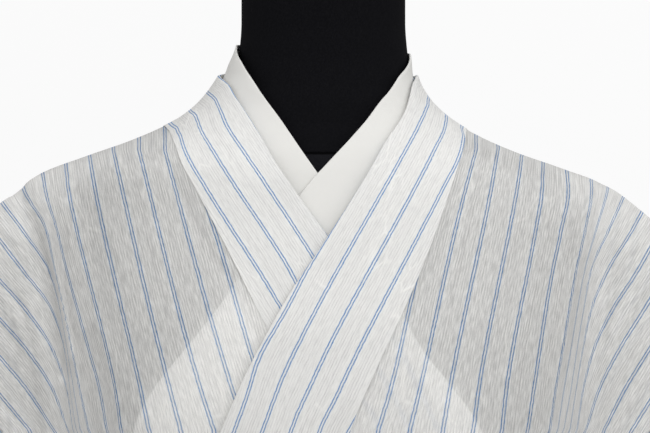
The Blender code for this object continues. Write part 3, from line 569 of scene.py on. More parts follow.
def inner_controls(side):
    """Way, height and out of one half of the inner collar, from flap end to centre back."""
    flap = INNER_FLAPS[side]
    count = len(flap["edge_height"])
    parts = np.linspace(0, 1, 13)
    rows = []
    for place in np.linspace(0, count - 1, 2 * count - 1):
        edge_height, edge_across, outer_height, outer_across = [
            smooth_read(place, range(count), values) for values in flap.values()]
        height = outer_height + (edge_height - outer_height) * parts
        across = outer_across + (edge_across - outer_across) * parts
        rows.append(stacked(drape.front_way(side, across, height), height))
    nape = []
    for around in INNER_NAPE_STATIONS:
        top = read(NAPE, "inner_edge_height", around)
        height = INNER_OUTER_TOP + (top - INNER_OUTER_TOP) * parts
        near, far = drape.side_way(side, height), drape.back_way(side, height)
        nape.append(stacked(near + (far - near) * around, height))
    bridge = [rows[-1] + (nape[0] - rows[-1]) * np.array((part, part ** 0.65))
              for part in (0.25, 0.5, 0.75)]
    return np.array(rows + bridge + nape)


def folded_band(out_count, back_count, back_to=0.0):
    """Shares across a band that is folded double, out and back, and the turn round its fold."""
    shares = np.concatenate((np.linspace(0, 1, out_count), np.ones(5),
                             np.linspace(1, back_to, back_count)))
    swing = np.concatenate((np.zeros(out_count), np.linspace(0, np.pi, 7)[1:-1],
                            np.full(back_count, np.pi)))
    return shares, swing


def read_across(grid, shares):
    """A grid of values read at these shares of its width, between its columns."""
    at = shares * (grid.shape[1] - 1)
    index = np.clip(at.astype(int), 0, grid.shape[1] - 2)
    share = (at - index)[(slice(None),) + (None,) * (grid.ndim - 2)]
    return grid[:, index] * (1 - share) + grid[:, index + 1] * share


def half_inner_collar(side):
    controls = finer(inner_controls(side), 170)
    shares, swing = folded_band(22, 9, 1 - INNER_TURN_BACK)
    ahead = unit(controls[:, -1:] - controls[:, -2:-1])
    band = read_across(controls, shares) + ahead * (INNER_ROLL * np.sin(swing))[None, :, None]
    out = inner_out(side, band[..., 1]) + INNER_ROLL * np.cos(swing)[None, :]
    points = tilted(drape.point(side, band[..., 0], band[..., 1], out))
    width = np.concatenate((np.linspace(0, 0.055, 22), np.linspace(0.056, 0.080, 14)))
    length = np.linspace(0, 0.62, len(points)) * side
    return points, stacked(width[None, :], length[:, None])


def plain_cotton(name, colour, weave_scale, depth, flap_colour_with_painted_light=None):
    """Plain-woven cotton with a fine thread relief and a slightly uneven tone; given flaps, they are
    painted brighter as painted light.
    """
    cotton, make = new_material(name)
    flat = make.add("UVMap", "UV", uv_map="cloth")
    threads = [make.add("TexWave", "Fac", {"Vector": flat, "Scale": weave_scale,
                                           "Distortion": 0.6, "Detail Scale": 3},
                        bands_direction=direction) for direction in ("X", "Y")]
    cloudy = make.add("TexNoise", "Fac", {"Vector": flat, "Scale": 60, "Detail": 3})
    tone = make.mixed(tuple(part * 0.965 for part in colour), colour, cloudy)
    # Flaps past the band: a whiter cloth, and painted brighter still as painted light for the light
    # that reaches them through the crepe
    if flap_colour_with_painted_light:
        along = make.add("SeparateXYZ", "Y", {"Vector": flat})
        band_share = make.ranged(make.maths("ABSOLUTE", along), FLAP_LENGTH, FLAP_LENGTH + 0.03)
        tone = make.mixed(flap_colour_with_painted_light, tone, band_share)
    make.shader({"Base Color": tone, "Roughness": 0.88, "Specular IOR Level": 0.25,
                 "Sheen Weight": 0.05,
                 "Normal": make.bump(make.maths("MAXIMUM", *threads), 0.22, depth)})
    return cotton


def facing_out(mesh):
    """Turn a sheet's faces away from the wearer."""
    builder = bmesh.new()
    builder.from_mesh(mesh)
    builder.normal_update()
    away = 0.0
    for face in builder.faces:
        centre = face.calc_center_median()
        away += (face.normal.x * centre.x + face.normal.y * centre.y) * face.calc_area()
    if away < 0:
        bmesh.ops.reverse_faces(builder, faces=builder.faces)
    return builder


def cloth_piece(name, points, cloth, finish, slot, node):
    return placed(name, facing_out(sheet_mesh(name, points, cloth)), finish, slot, node)


def band_piece(name, halves, finish, slot, node):
    """A band whose two halves meet at the centre back, as one run of rows."""
    left, right = halves
    points, cloth = [np.concatenate((near, far[::-1][1:])) for near, far in zip(left, right)]
    return cloth_piece(name, points, cloth, finish, slot, node)


drape = DrapeSurface()
# The flap colour is near white: partly a whiter cloth, partly painted light for light coming through
# the crepe onto the flaps
white_cotton = plain_cotton("white_collar_cotton", (0.670, 0.664, 0.641), 260, 0.00025,
                            flap_colour_with_painted_light=(0.955, 0.95, 0.93))
inner_band = band_piece("inner_collar_band", [half_inner_collar(side) for side in SIDES],
                        white_cotton, "white_collar_cloth", "inner_collar")

# The two body lengths: one straight width of crepe each, from the front hem over the shoulder to
# the back hem. They are sewn up the centre back and the sides, and cut in at the neck.
UNDER_LAYER_OUT = -0.0052
COVERED_WAY = (0.165, 0.215)
COVERED_HEIGHT = (1.32, 1.36)
SHOULDER_LINE = named_columns("cloth_width across height", (
    (0.076, 0.0880, 1.3930),
    (0.088, 0.0988, 1.3856),
    (0.120, 0.1281, 1.3722),
    (0.153, 0.1595, 1.3611),
    (0.186, 0.1900, 1.3494),
    (0.215, 0.2135, 1.3325),
    (0.245, 0.2355, 1.3125),
    (0.280, 0.2573, 1.2852),
    (0.312, 0.2742, 1.2580),
))
NECK_CUT = {WEARERS_LEFT: 0.0835, WEARERS_RIGHT: 0.0955}
NECK_CUT_SLOPE = {WEARERS_LEFT: 0.176, WEARERS_RIGHT: 0.245}
SLEEVE_SEAM = 0.312
HANG = named_columns("cloth_width reach", (
    (0.080, 0.003),
    (0.150, 0.004),
    (0.175, 0.010),
    (0.200, 0.028),
    (0.225, 0.050),
    (0.260, 0.075),
    (0.312, 0.100),
))
HANG_ENDS = 1.098
HANG_FADES = 1.150
WING_GAP = 0.030
WING_OPENS = 0.02
DRAPE_FOLD_DEPTH = {WEARERS_LEFT: 0.0045, WEARERS_RIGHT: 0.0080}
DRAPE_FOLD_WIDTH = 0.013
DRAPE_FOLD_ACROSS = {WEARERS_LEFT: 0.186, WEARERS_RIGHT: 0.191}
DRAPE_VALLEY_DEPTH = {WEARERS_LEFT: 0.012, WEARERS_RIGHT: 0.024}
DRAPE_VALLEY_WIDTH = 0.026
DRAPE_VALLEY_ACROSS = 0.224
DRAPE_FALL = (0.0, 0.05)
DRAPE_HEIGHT = (HANG_ENDS, 1.20)
DRAPE_FULL_DEPTH = 0.04
PLEAT_DEPTH = 0.0005
PLEATS_ACROSS = (0.188, 0.212)
PLEATS_HEIGHT = (1.12, 1.20)
HANGS_CLEAR = (0.94, 1.12)
COLLAR_LINES = {
    WEARERS_LEFT: named_columns("seam_height seam_across edge_height edge_across", (
        (1.055, -0.0300, 1.0820, -0.1080),
        (1.110, -0.0099, 1.1380, -0.0847),
        (1.179, 0.0158, 1.2068, -0.0555),
        (1.208, 0.0265, 1.2355, -0.0424),
        (1.242, 0.0426, 1.2735, -0.0213),
        (1.285, 0.0607, 1.3120, 0.0046),
        (1.327, 0.0768, 1.3480, 0.0275),
        (1.372, 0.0915, 1.3885, 0.0503),
        (1.379, 0.0932, 1.4050, 0.0606),
        (1.386, 0.0945, 1.4225, 0.0642),
    )),
    WEARERS_RIGHT: named_columns("seam_height seam_across edge_height edge_across", (
        (1.055, -0.0480, 1.0840, -0.1160),
        (1.110, -0.0310, 1.1410, -0.1000),
        (1.179, -0.0010, 1.2110, -0.0700),
        (1.208, 0.0135, 1.2390, -0.0530),
        (1.248, 0.0351, 1.2790, -0.0265),
        (1.287, 0.0568, 1.3140, -0.0001),
        (1.323, 0.0763, 1.3480, 0.0246),
        (1.365, 0.0966, 1.3907, 0.0512),
        (1.374, 0.0990, 1.4050, 0.0606),
        (1.383, 0.1010, 1.4143, 0.0652),
    )),
}
COLLAR_TOP = {WEARERS_LEFT: 1.4225, WEARERS_RIGHT: 1.4148}
NAPE_TOP = 1.4195
COLLAR_END = 0.800
COLLAR_END_SEAM = -0.092
FREE_EDGE = -0.167
LAPS = named_columns("height overlap_seam side_forward slit", (
    (0.070, -0.020, 0.014, 0.0002),
    (0.800, -0.025, 0.020, 0.0002),
    (0.960, -0.014, 0.012, 0.0002),
    (1.010, -0.009, 0.006, 0.0080),
    (1.055, -0.004, 0.000, 0.0140),
    (1.100, 0.003, 0.000, 0.0260),
    (1.168, 0.012, 0.000, 0.0340),
    (1.400, 0.012, 0.000, 0.0340),
))
OVERLAP_TIP_LEVEL = 0.66
OVERLAP_SEAM_LEANS = 0.96
GATHER_LIMITS = (0.55, 1.6)
NAPE_LEVEL = 0.120
HEM = 0.070
HEM_WIDTH = 0.011
HEM_TURN = 0.0006
BODY_COLUMNS = 121

# Where the pairs of stripes lie on the fronts: for each pair, counted outwards, its distance from
# the middle in millimetres at these heights. Beyond the drape fold the cloth hangs aslant.
STRIPE_PITCH = 0.0178
STRIPE_HALF_GAP = 0.00088
STRIPE_HALF_WIDTH = 0.00042
FINE_LINE_PITCH = 0.0017
STRIPE_HEIGHTS = (1.1814, 1.2082, 1.2350, 1.2618, 1.2886, 1.3154, 1.3422, 1.3690)
FRONT_STRIPES = {
    WEARERS_LEFT: (
        (16.5, 24.4, 32.2, 40.0, 47.8, 55.7, 63.5, 71.3),
        (36.7, 44.9, 51.5, 57.3, 63.5, 70.9, 78.5, 86.1),
        (57.9, 64.5, 70.6, 76.4, 82.3, 88.4, 95.1, 102.4),
        (80.3, 84.7, 89.8, 95.4, 101.2, 107.0, 112.3, 116.9),
        (100.6, 104.0, 108.6, 113.8, 119.3, 124.7, 129.7, 133.8),
        (119.8, 122.6, 126.8, 131.9, 137.3, 142.3, 146.5, 147.5),
        (137.1, 141.1, 145.1, 149.1, 153.8, 159.4, 164.2, 161.0),
        (152.2, 156.0, 160.7, 165.2, 169.9, 175.9, 180.0, 177.0),
        (157.2, 161.2, 165.9, 170.2, 175.3, 182.6, 190.2, 194.0),
        (161.0, 165.9, 169.9, 174.3, 178.9, 190.7, 202.7, 212.0),
        (165.2, 169.2, 173.6, 178.9, 190.3, 206.8, 220.8, 235.0),
        (169.9, 173.7, 180.6, 193.4, 210.8, 226.0, 245.0, 255.0),
        (175.6, 184.4, 198.0, 214.8, 230.9, 248.0, 262.0, 275.0),
        (188.0, 201.6, 218.0, 235.0, 252.0, 268.0, 282.0, 295.0),
        (206.8, 223.5, 240.0, 255.0, 272.0, 288.0, 302.0, 315.0),
        (226.0, 244.0, 260.0, 275.0, 292.0, 308.0, 322.0, 335.0),
    ),
    WEARERS_RIGHT: (
        (31.4, 40.4, 49.2, 57.0, 64.7, 73.0, 82.0, 91.0),
        (52.1, 60.9, 69.2, 77.1, 84.6, 91.8, 98.9, 106.1),
        (73.4, 82.1, 89.9, 97.1, 103.9, 110.4, 116.9, 123.5),
        (95.6, 102.8, 109.6, 116.2, 122.5, 128.6, 134.7, 140.8),
        (117.0, 122.5, 128.6, 135.0, 141.3, 147.4, 152.8, 157.4),
        (136.0, 139.7, 145.3, 151.9, 158.8, 165.4, 170.8, 173.5),
        (145.0, 149.7, 157.1, 164.8, 172.3, 178.8, 186.3, 190.0),
        (157.7, 163.7, 169.1, 174.5, 180.2, 185.2, 200.3, 208.0),
        (163.1, 167.4, 171.8, 176.1, 183.3, 201.4, 220.0, 228.0),
        (165.8, 169.8, 173.1, 181.2, 201.5, 222.0, 242.0, 248.0),
        (167.8, 171.4, 180.8, 199.0, 222.7, 240.8, 260.0, 266.0),
        (170.9, 180.8, 198.6, 222.0, 242.0, 260.0, 278.0, 284.0),
        (180.4, 198.3, 220.7, 242.0, 262.0, 280.0, 296.0, 302.0),
        (196.9, 219.4, 242.0, 262.0, 282.0, 300.0, 314.0, 320.0),
        (218.0, 240.0, 262.0, 282.0, 302.0, 320.0, 332.0, 338.0),
    ),
}

# Creases seen on the fronts, and similar ones on the backs: from a point to a point across and
# up, then half width and height
FRONT_CREASES = (
    (-0.2060, 1.3420, -0.1985, 1.3240, 0.0055, -0.0032),
    (-0.1985, 1.3240, -0.1880, 1.2815, 0.0060, -0.0052),
    (-0.1880, 1.2815, -0.1770, 1.2175, 0.0065, -0.0046),
    (-0.1770, 1.2175, -0.1700, 1.1500, 0.0065, -0.0030),
    (-0.1860, 1.3200, -0.1760, 1.2800, 0.0040, 0.0016),
    (-0.1760, 1.2800, -0.1690, 1.2300, 0.0045, 0.0016),
    (-0.2030, 1.2950, -0.1880, 1.2300, 0.0050, 0.0024),
    (-0.1880, 1.2300, -0.1820, 1.1600, 0.0055, 0.0022),
    (-0.1730, 1.3300, -0.1620, 1.2500, 0.0075, 0.0014),
    (-0.2080, 1.3050, -0.1850, 1.2500, 0.0045, -0.0018),
    (-0.2180, 1.2800, -0.1830, 1.2100, 0.0050, 0.0018),
    (-0.1480, 1.3300, -0.1330, 1.2900, 0.0030, 0.0007),
    (-0.1510, 1.2550, -0.1200, 1.1900, 0.0060, 0.0010),
    (0.1850, 1.3400, 0.1810, 1.2950, 0.0060, -0.0018),
    (0.1810, 1.2950, 0.1760, 1.2400, 0.0065, -0.0024),
    (0.1760, 1.2400, 0.1710, 1.1500, 0.0070, -0.0024),
    (0.1910, 1.3150, 0.1870, 1.2500, 0.0055, 0.0018),
    (0.1870, 1.2500, 0.1810, 1.1700, 0.0060, 0.0018),
    (0.2100, 1.3000, 0.1900, 1.2400, 0.0050, -0.0014),
    (0.1640, 1.3300, 0.1600, 1.2500, 0.0070, 0.0012),
    (0.1180, 1.3100, 0.1050, 1.2500, 0.0060, 0.0008),
    (0.0985, 1.3600, 0.0850, 1.3200, 0.0036, -0.0012),
    (0.0850, 1.3200, 0.0665, 1.2800, 0.0042, -0.0016),
    (0.0665, 1.2800, 0.0490, 1.2400, 0.0036, -0.0010),
    (-0.1040, 1.3600, -0.0860, 1.3200, 0.0034, -0.0012),
    (-0.0860, 1.3200, -0.0640, 1.2800, 0.0038, -0.0014),
    (-0.0640, 1.2800, -0.0430, 1.2420, 0.0034, -0.0010),
    (0.1250, 1.1650, 0.1000, 1.0950, 0.0080, 0.0014),
    (0.0800, 1.1400, 0.0700, 1.0900, 0.0070, -0.0010),
    (-0.1250, 1.1700, -0.1000, 1.0950, 0.0080, -0.0014),
)
BACK_CREASES = (
    (-0.2010, 1.3300, -0.1880, 1.2800, 0.0060, -0.0030),
    (-0.1880, 1.2800, -0.1770, 1.2100, 0.0065, -0.0030),
    (0.1950, 1.3300, 0.1840, 1.2800, 0.0060, -0.0026),
    (0.1840, 1.2800, 0.1750, 1.2000, 0.0065, -0.0026),
    (-0.1250, 1.2100, -0.0850, 1.0950, 0.0090, 0.0018),
    (-0.0450, 1.1700, -0.0350, 1.0900, 0.0070, -0.0013),
    (0.0550, 1.1900, 0.0350, 1.0900, 0.0080, 0.0016),
    (0.1250, 1.2200, 0.0900, 1.0950, 0.0090, -0.0016),
)


def shoulder_point(cloth_width):
    return (read(SHOULDER_LINE, "across", cloth_width),
            read(SHOULDER_LINE, "height", cloth_width))


def layer_out(side, way, height):
    """The right front lies under the left one, so it sits further in where it is covered."""
    if side == WEARERS_LEFT:
        return 0 * way * height
    covered = (1 - ease(way, *COVERED_WAY)) * (1 - ease(height, *COVERED_HEIGHT))
    return UNDER_LAYER_OUT * covered


def below_sash(height):
    """0 above the sash's middle, and 1 from the collar's ends down."""
    return np.clip((SASH_MIDDLE - height) / (SASH_MIDDLE - COLLAR_END), 0, 1)


def collar_seam_way(side, height):
    above = np.maximum(height, SASH_MIDDLE)
    upper = drape.front_way(side, read(COLLAR_LINES[side], "seam_across", above), above)
    return upper + (COLLAR_END_SEAM - upper) * below_sash(height)


def overlap_tip_height(side):
    top = shoulder_point(NECK_CUT[side])[1]
    return top - OVERLAP_TIP_LEVEL * (top - SASH_MIDDLE)


def inner_front_way(side, height):
    """Way round to the inner edge of the front panel: the collar seam, then the overlap's."""
    tip = overlap_tip_height(side)
    at_tip = collar_seam_way(side, np.full_like(height, tip))
    drawn = read(LAPS, "overlap_seam", height)
    off = at_tip - read(LAPS, "overlap_seam", tip)
    drawn = drawn + off * ease(height, OVERLAP_SEAM_LEANS, tip)
    return np.where(height >= tip, collar_seam_way(side, height), drawn)


def seam_cut(side, height):
    """How far from the centre back, on the flat cloth, the front's inner edge is."""
    top = shoulder_point(NECK_CUT[side])[1]
    tip = overlap_tip_height(side)
    return NECK_CUT[side] - NECK_CUT_SLOPE[side] * (top - np.clip(height, tip, top))


def settled_way(part, start, end, cloth):
    """Cloth keeps its width by the inner edge, and gathers towards the outer one."""
    share = np.clip(np.abs(end - start) / cloth, *GATHER_LIMITS)
    return start + (end - start) * (part / share - (1 / share - 1) * part * part)


def body_rows(side, face, part, level, tilt=True):
    """Points of a body length above the sash, and their place on the flat cloth."""
    cloth_width = NECK_CUT[side] + part * (SLEEVE_SEAM - NECK_CUT[side])
    top_across, top_height = shoulder_point(cloth_width)
    top_across = side * top_across
    height = top_height - level * (top_height - SASH_MIDDLE)
    neck_top = shoulder_point(NECK_CUT[side])[1]
    forward = read(LAPS, "side_forward", height)
    slit = read(LAPS, "slit", height)
    if face > 0:
        inner_height = neck_top - level * (neck_top - SASH_MIDDLE)
        across = drape.point(side, inner_front_way(side, inner_height), inner_height)[..., 0]
        start = drape.front_way(side, side * across, height)
        end = drape.side_way(side, height) - forward - slit
        inner_cut = seam_cut(side, height)
        way = settled_way(part, start, end, SLEEVE_SEAM - inner_cut)
        out = layer_out(side, way, height)
    else:
        around = np.minimum(level / NAPE_LEVEL, 1.0)
        nape_seam = NAPE["seam_height"]
        now = read(NAPE, "seam_height", around)
        nape_fall = (nape_seam[0] - now) / (nape_seam[0] - nape_seam[-1])
        below = np.clip((level - NAPE_LEVEL) / (1 - NAPE_LEVEL), 0, 1)
        round_neck = neck_top + (nape_seam[-1] - neck_top) * nape_fall
        down_back = nape_seam[-1] + (SASH_MIDDLE - nape_seam[-1]) * below
        inner_height = np.where(around < 1, round_neck, down_back)
        plain_height = neck_top - level * (neck_top - SASH_MIDDLE)
        height = height + (inner_height - plain_height) * (1 - part) ** 2
        centre = drape.back_way(side, height)
        side_at = drape.side_way(side, height)
        start = side_at + (centre - side_at) * around
        end = side_at - forward + slit
        inner_cut = NECK_CUT[side] * (1 - around)
        way = settled_way(part, start, end, SLEEVE_SEAM - inner_cut)
        out = 0 * way
    points = drape.point(side, way, height, out)
    fall = np.maximum(top_height - height, 0.0)
    hang = np.exp(-fall / read(HANG, "reach", cloth_width))
    hang = hang * ease(height, HANG_ENDS, HANG_FADES)
    wing = -face * WING_GAP * (1 - np.exp(-fall / WING_OPENS))
    points[..., 0] += (top_across - points[..., 0]) * hang
    points[..., 1] += (wing - points[..., 1]) * hang
    off_fold = np.abs(points[..., 0]) - DRAPE_FOLD_ACROSS[side]
    trough = np.exp(-(off_fold / DRAPE_FOLD_WIDTH) ** 2)
    off_valley = np.abs(points[..., 0]) - DRAPE_VALLEY_ACROSS
    valley = np.exp(-(off_valley / DRAPE_VALLEY_WIDTH) ** 2)
    dip = DRAPE_FOLD_DEPTH[side] * trough + DRAPE_VALLEY_DEPTH[side] * valley
    dip = dip * np.minimum(np.abs(points[..., 1]) / DRAPE_FULL_DEPTH, 1.0)
    points[..., 1] += face * dip * ease(fall, *DRAPE_FALL) * ease(height, *DRAPE_HEIGHT)
    width = inner_cut + part * (SLEEVE_SEAM - inner_cut)
    return (tilted(points) if tilt else points), stacked(width, -face * fall)


def skirt_rows(side, face, part, height, sunk=0.0):
    """Points of a body length below the sash; sunk is how far inside it lies at a turned hem."""
    edge = drape.side_way(side, height) - read(LAPS, "side_forward", height)
    slit = read(LAPS, "slit", height)
    if face > 0:
        start, end = inner_front_way(side, height), edge - slit
        inner_cut = seam_cut(side, height)
    else:
        start, end = drape.back_way(side, height), edge + slit
        inner_cut = 0 * height
    way = settled_way(part, start, end, SLEEVE_SEAM - inner_cut)
    out = layer_out(side, way, height) if face > 0 else 0.0
    width = inner_cut + part * (SLEEVE_SEAM - inner_cut)
    fall = shoulder_point(width)[1] - height
    fall = fall + np.where(sunk > 0, 2 * (height - HEM), 0.0)
    return drape.point(side, way, height, out - sunk), stacked(width, -face * fall)


def turned_hem(lower, upper, count):
    """Heights and depths of a hem: up inside, down to the fold, round it, and up outside."""
    inside = np.linspace(HEM + HEM_WIDTH, HEM, 9)
    outside = np.linspace(lower, upper, count)
    heights = np.concatenate((inside, [HEM - HEM_TURN], outside))
    depths = np.concatenate((np.full(9, 2 * HEM_TURN), [HEM_TURN], 0 * outside))
    return heights[:, None], depths[:, None]


def creased(points, creases):
    """Push soft ridges and troughs into a sheet, along its own outward direction."""
    run, rise = np.gradient(points, axis=1), np.gradient(points, axis=0)
    outward = np.cross(run, rise)
    outward /= np.maximum(np.linalg.norm(outward, axis=-1, keepdims=True), 1e-12)
    outward *= np.sign(np.sum(outward[..., :2] * points[..., :2]))
    ridge, trough = np.zeros(points.shape[:2]), np.zeros(points.shape[:2])
    for start_across, start_height, end_across, end_height, width, rise in creases:
        way = np.array((end_across - start_across, end_height - start_height))
        from_start = points[..., (0, 2)] - np.array((start_across, start_height))
        along = from_start @ way / (way @ way)
        nearest = np.clip(along, 0, 1)[..., None] * way
        away = np.linalg.norm(from_start - nearest, axis=-1)
        push = rise * np.exp(-(away / width) ** 2)
        ridge, trough = np.maximum(ridge, push), np.minimum(trough, push)
    return points + outward * (ridge + trough)[..., None]


def stripe_count(rows, heights, across, height):
    """How many pairs of stripes out from the first one a point of the front is."""
    tracks = np.stack([smooth_read(height, heights, np.array(row) / 1000) for row in rows])
    low = np.clip((tracks < across).sum(axis=0) - 1, 0, len(rows) - 2)
    near = np.take_along_axis(tracks, low[None], axis=0)[0]
    far = np.take_along_axis(tracks, low[None] + 1, axis=0)[0]
    return low + (across - near) / np.maximum(far - near, 0.001)


def seen_from_front(points):
    """Where points stand across and up when the chest is looked at level, from far in front."""
    nearer = CAMERA_DISTANCE / (CAMERA_DISTANCE + points[..., 1:2] - PICTURE_PLANE)
    middle = np.array((PICTURE_CENTRE[0], 0.0, PICTURE_CENTRE[1]))
    return middle + (points - middle) * nearer


def hanging_pleats(side, points):
    """Soft pleats that run along the stripes where the cloth hangs from the shoulder's end."""
    seen = seen_from_front(points)
    count = stripe_count(FRONT_STRIPES[side], STRIPE_HEIGHTS, side * seen[..., 0], seen[..., 2])
    wave = np.sin(2 * np.pi * count + 0.9) + 0.7 * np.sin(3.3 * np.pi * count + 8 * seen[..., 2])
    share = ease(side * seen[..., 0], *PLEATS_ACROSS) * ease(seen[..., 2], *PLEATS_HEIGHT)
    return PLEAT_DEPTH * wave * share


def with_stripes(side, points, width, front_rows):
    """Width on the cloth, set so that the stripes fall where they are seen on the fronts."""
    seen = seen_from_front(points[:front_rows])
    count = stripe_count(FRONT_STRIPES[side], STRIPE_HEIGHTS, side * seen[..., 0], seen[..., 2])
    wanted = (count + 0.5) * STRIPE_PITCH
    lowest = (seen[..., 2] < STRIPE_HEIGHTS[0]).sum(axis=0)
    columns = np.arange(width.shape[1])
    below = wanted[lowest, columns] - width[lowest, columns]
    above = wanted[-1] - width[front_rows - 1]
    rows = np.arange(front_rows)[:, None]
    placed_width = width.copy()
    placed_width[:front_rows] = np.where(rows < lowest, width[:front_rows] + below, wanted)
    placed_width[front_rows:] += above
    return placed_width


def two_paces(middle, end, near_count, far_count):
    """Places from 0 to the end, closer together as far as the middle one."""
    return np.concatenate((np.linspace(0, middle, near_count),
                           np.linspace(middle, end, far_count)[1:]))


def body_length(side):
    """All rows of one body length, front hem to back hem."""
    part = np.linspace(0, 1, BODY_COLUMNS)[None, :]
    skirt, sunk = turned_hem(HEM, SASH_MIDDLE - 0.010, 84)
    front = two_paces(NAPE_LEVEL / 2, 1, 15, 124)[::-1, None]
    back = two_paces(NAPE_LEVEL, 1, 28, 100)[1:, None]
    pieces = [
        skirt_rows(side, 1, part, skirt, sunk),
        body_rows(side, 1, part, front),
        body_rows(side, -1, part, back),
        skirt_rows(side, -1, part, skirt[::-1], sunk[::-1]),
    ]
    front_rows = len(skirt) + len(front)
    points = np.concatenate([piece[0] for piece in pieces])
    cloth = np.concatenate([piece[1] for piece in pieces])
    points[:front_rows] = creased(points[:front_rows], FRONT_CREASES)
    points[front_rows:] = creased(points[front_rows:], BACK_CREASES)
    points[:front_rows, :, 1] += hanging_pleats(side, points[:front_rows])
    cloth[..., 0] = with_stripes(side, points, cloth[..., 0], front_rows)
    return points, cloth


GROUND_TONES = np.array(((0.80, 0.798, 0.782), (0.935, 0.931, 0.906)))
GREY_THREAD = (0.42, 0.39, 0.41)
BLUE_THREAD = (0.078, 0.215, 0.470)
# Pale tone painted along the crepe's crinkle lines: a painted highlight on their ridges
WRINKLE_HIGHLIGHT = (0.92, 0.91, 0.88)


def crepe_cloth(name, layers):
    """Thin cotton crepe: off-white, with pairs of fine blue stripes and faint grey lines between.

    The ground is crinkled along the warp and lets light through; sewn double it lets less through.
    So does cloth that hangs clear of the form, as a haze hides what is far behind it. The sparse
    crinkle lines are painted paler: painted highlights on their ridges.
    """
    crepe, make = new_material(name)
    flat = make.add("UVMap", "UV", uv_map="cloth")
    maths, mixed = make.maths, make.mixed
    single = layers == 1

    def eased(value, start, end):
        return make.add("MapRange", "Result", {"Value": value, "From Min": start, "From Max": end},
                        interpolation_type="SMOOTHSTEP")

    def stretched(across, along, turn=0.0):
        return make.add("Mapping", "Vector", {"Vector": flat, "Scale": (across, along, 1),
                                              "Rotation": (0, 0, turn)})

    def noise(across, along, detail):
        return make.add("TexNoise", "Fac", {"Vector": stretched(across, along), "Scale": 1,
                                            "Detail": detail})

    waver = maths("MULTIPLY", maths("SUBTRACT", noise(90, 260, 2), 0.5), 0.0008)
    width = maths("ADD", make.add("SeparateXYZ", "X", {"Vector": flat}), waver)
    turn = maths("FRACT", maths("DIVIDE", width, STRIPE_PITCH))
    off_pair = maths("MULTIPLY", maths("ABSOLUTE", maths("SUBTRACT", turn, 0.5)), STRIPE_PITCH)
    off_line = maths("ABSOLUTE", maths("SUBTRACT", off_pair, STRIPE_HALF_GAP))
    blue = maths("SUBTRACT", 1.0, eased(off_line, STRIPE_HALF_WIDTH * 0.5, STRIPE_HALF_WIDTH * 1.5))
    blue_depth = maths("MULTIPLY_ADD", noise(1500, 420, 2), 0.9, 0.38)
    blue = maths("MINIMUM", maths("MULTIPLY", blue, blue_depth), 1.0)
    fine = maths("SINE", maths("MULTIPLY", width, 2 * math.pi / FINE_LINE_PITCH))
    zone = maths("MULTIPLY", eased(off_pair, 0.0044, 0.0066), 0.4)
    zone = maths("MULTIPLY_ADD", eased(off_pair, 0.0020, 0.0034), 0.6, zone)
    patchy = maths("MULTIPLY_ADD", eased(noise(520, 3, 2), 0.36, 0.64), 0.6, 0.4)
    grey = maths("MULTIPLY", maths("MULTIPLY", eased(fine, -0.2, 0.9), zone), patchy)
    crinkle = noise(900, 60, 3)
    fibre = noise(1350, 140, 3)
    streak = eased(noise(330, 5, 3), 0.36, 0.64)
    grain = noise(2300, 1500, 2)
    sparse = eased(noise(30, 16, 2), 0.50, 0.68)
    cells = make.add("TexVoronoi", "Distance", {"Vector": stretched(95, 34, 0.42), "Scale": 1},
                     feature="DISTANCE_TO_EDGE")
    wrinkle = maths("MULTIPLY", maths("SUBTRACT", 1.0, eased(cells, 0.0, 0.07)), sparse)
    rough = maths("MULTIPLY_ADD", eased(fibre, 0.34, 0.66), 0.75 if single else 0.16,
                  maths("MULTIPLY", eased(crinkle, 0.36, 0.64), 0.25 if single else 0.24))
    rough = maths("MULTIPLY_ADD", streak, 0.24, maths("MULTIPLY", rough, 0.80))
    ground = mixed(*(GROUND_TONES * (1.0 if single else 0.92)), rough)
    lined = mixed(ground, GREY_THREAD, maths("MULTIPLY", grey, 0.42 if single else 0.34))
    # Painted highlight: the crinkle lines are painted paler, as if their ridges caught the light
    wrinkle_highlighted = mixed(lined, WRINKLE_HIGHLIGHT, maths("MULTIPLY", wrinkle, 0.5))
    striped = mixed(wrinkle_highlighted, BLUE_THREAD, blue)
    thick = maths("MULTIPLY_ADD", eased(grain, 0.25, 0.80), 0.10, 0.562 if single else 0.86)
    thick = maths("MULTIPLY_ADD", eased(fibre, 0.32, 0.68), 0.16, thick)
    thick = maths("MULTIPLY_ADD", maths("ADD", blue, maths("MULTIPLY", wrinkle, 0.5)), 0.10, thick)
    height = make.add("SeparateXYZ", "Z", {"Vector": make.add("TexCoord", "Object")})
    hanging = maths("SUBTRACT", 1.0, eased(height, *HANGS_CLEAR))
    thick = maths("MULTIPLY_ADD", hanging, 0.26, thick)
    relief = maths("MULTIPLY_ADD", grain, 0.20, maths("MULTIPLY_ADD", fibre, 0.5, crinkle))
    relief = maths("MULTIPLY_ADD", noise(300, 120, 2), 0.6, relief)
    relief = maths("MULTIPLY_ADD", wrinkle, 0.5, relief)
    make.shader({"Base Color": striped, "Roughness": 0.90, "Specular IOR Level": 0.20,
                 "Sheen Weight": 0.05, "Alpha": maths("MINIMUM", thick, 1.0),
                 "Normal": make.bump(relief, 0.45, 0.0007)})
    glow = make.add("BsdfTranslucent", "BSDF", {"Color": striped})
    thin = make.add("MixShader", "Shader",
                    {"Fac": 0.12, 1: make.nodes["Principled BSDF"].outputs["BSDF"], 2: glow})
    make.give(make.nodes["Material Output"].inputs["Surface"], thin)
    return crepe


crepe = crepe_cloth("striped_crepe_single", 1)
crepe_double = crepe_cloth("striped_crepe_sewn", 2)
for side, name in SIDES.items():
    body_piece = cloth_piece("body_length_" + name, *body_length(side), crepe,
                             "striped_crepe", "body_" + name)

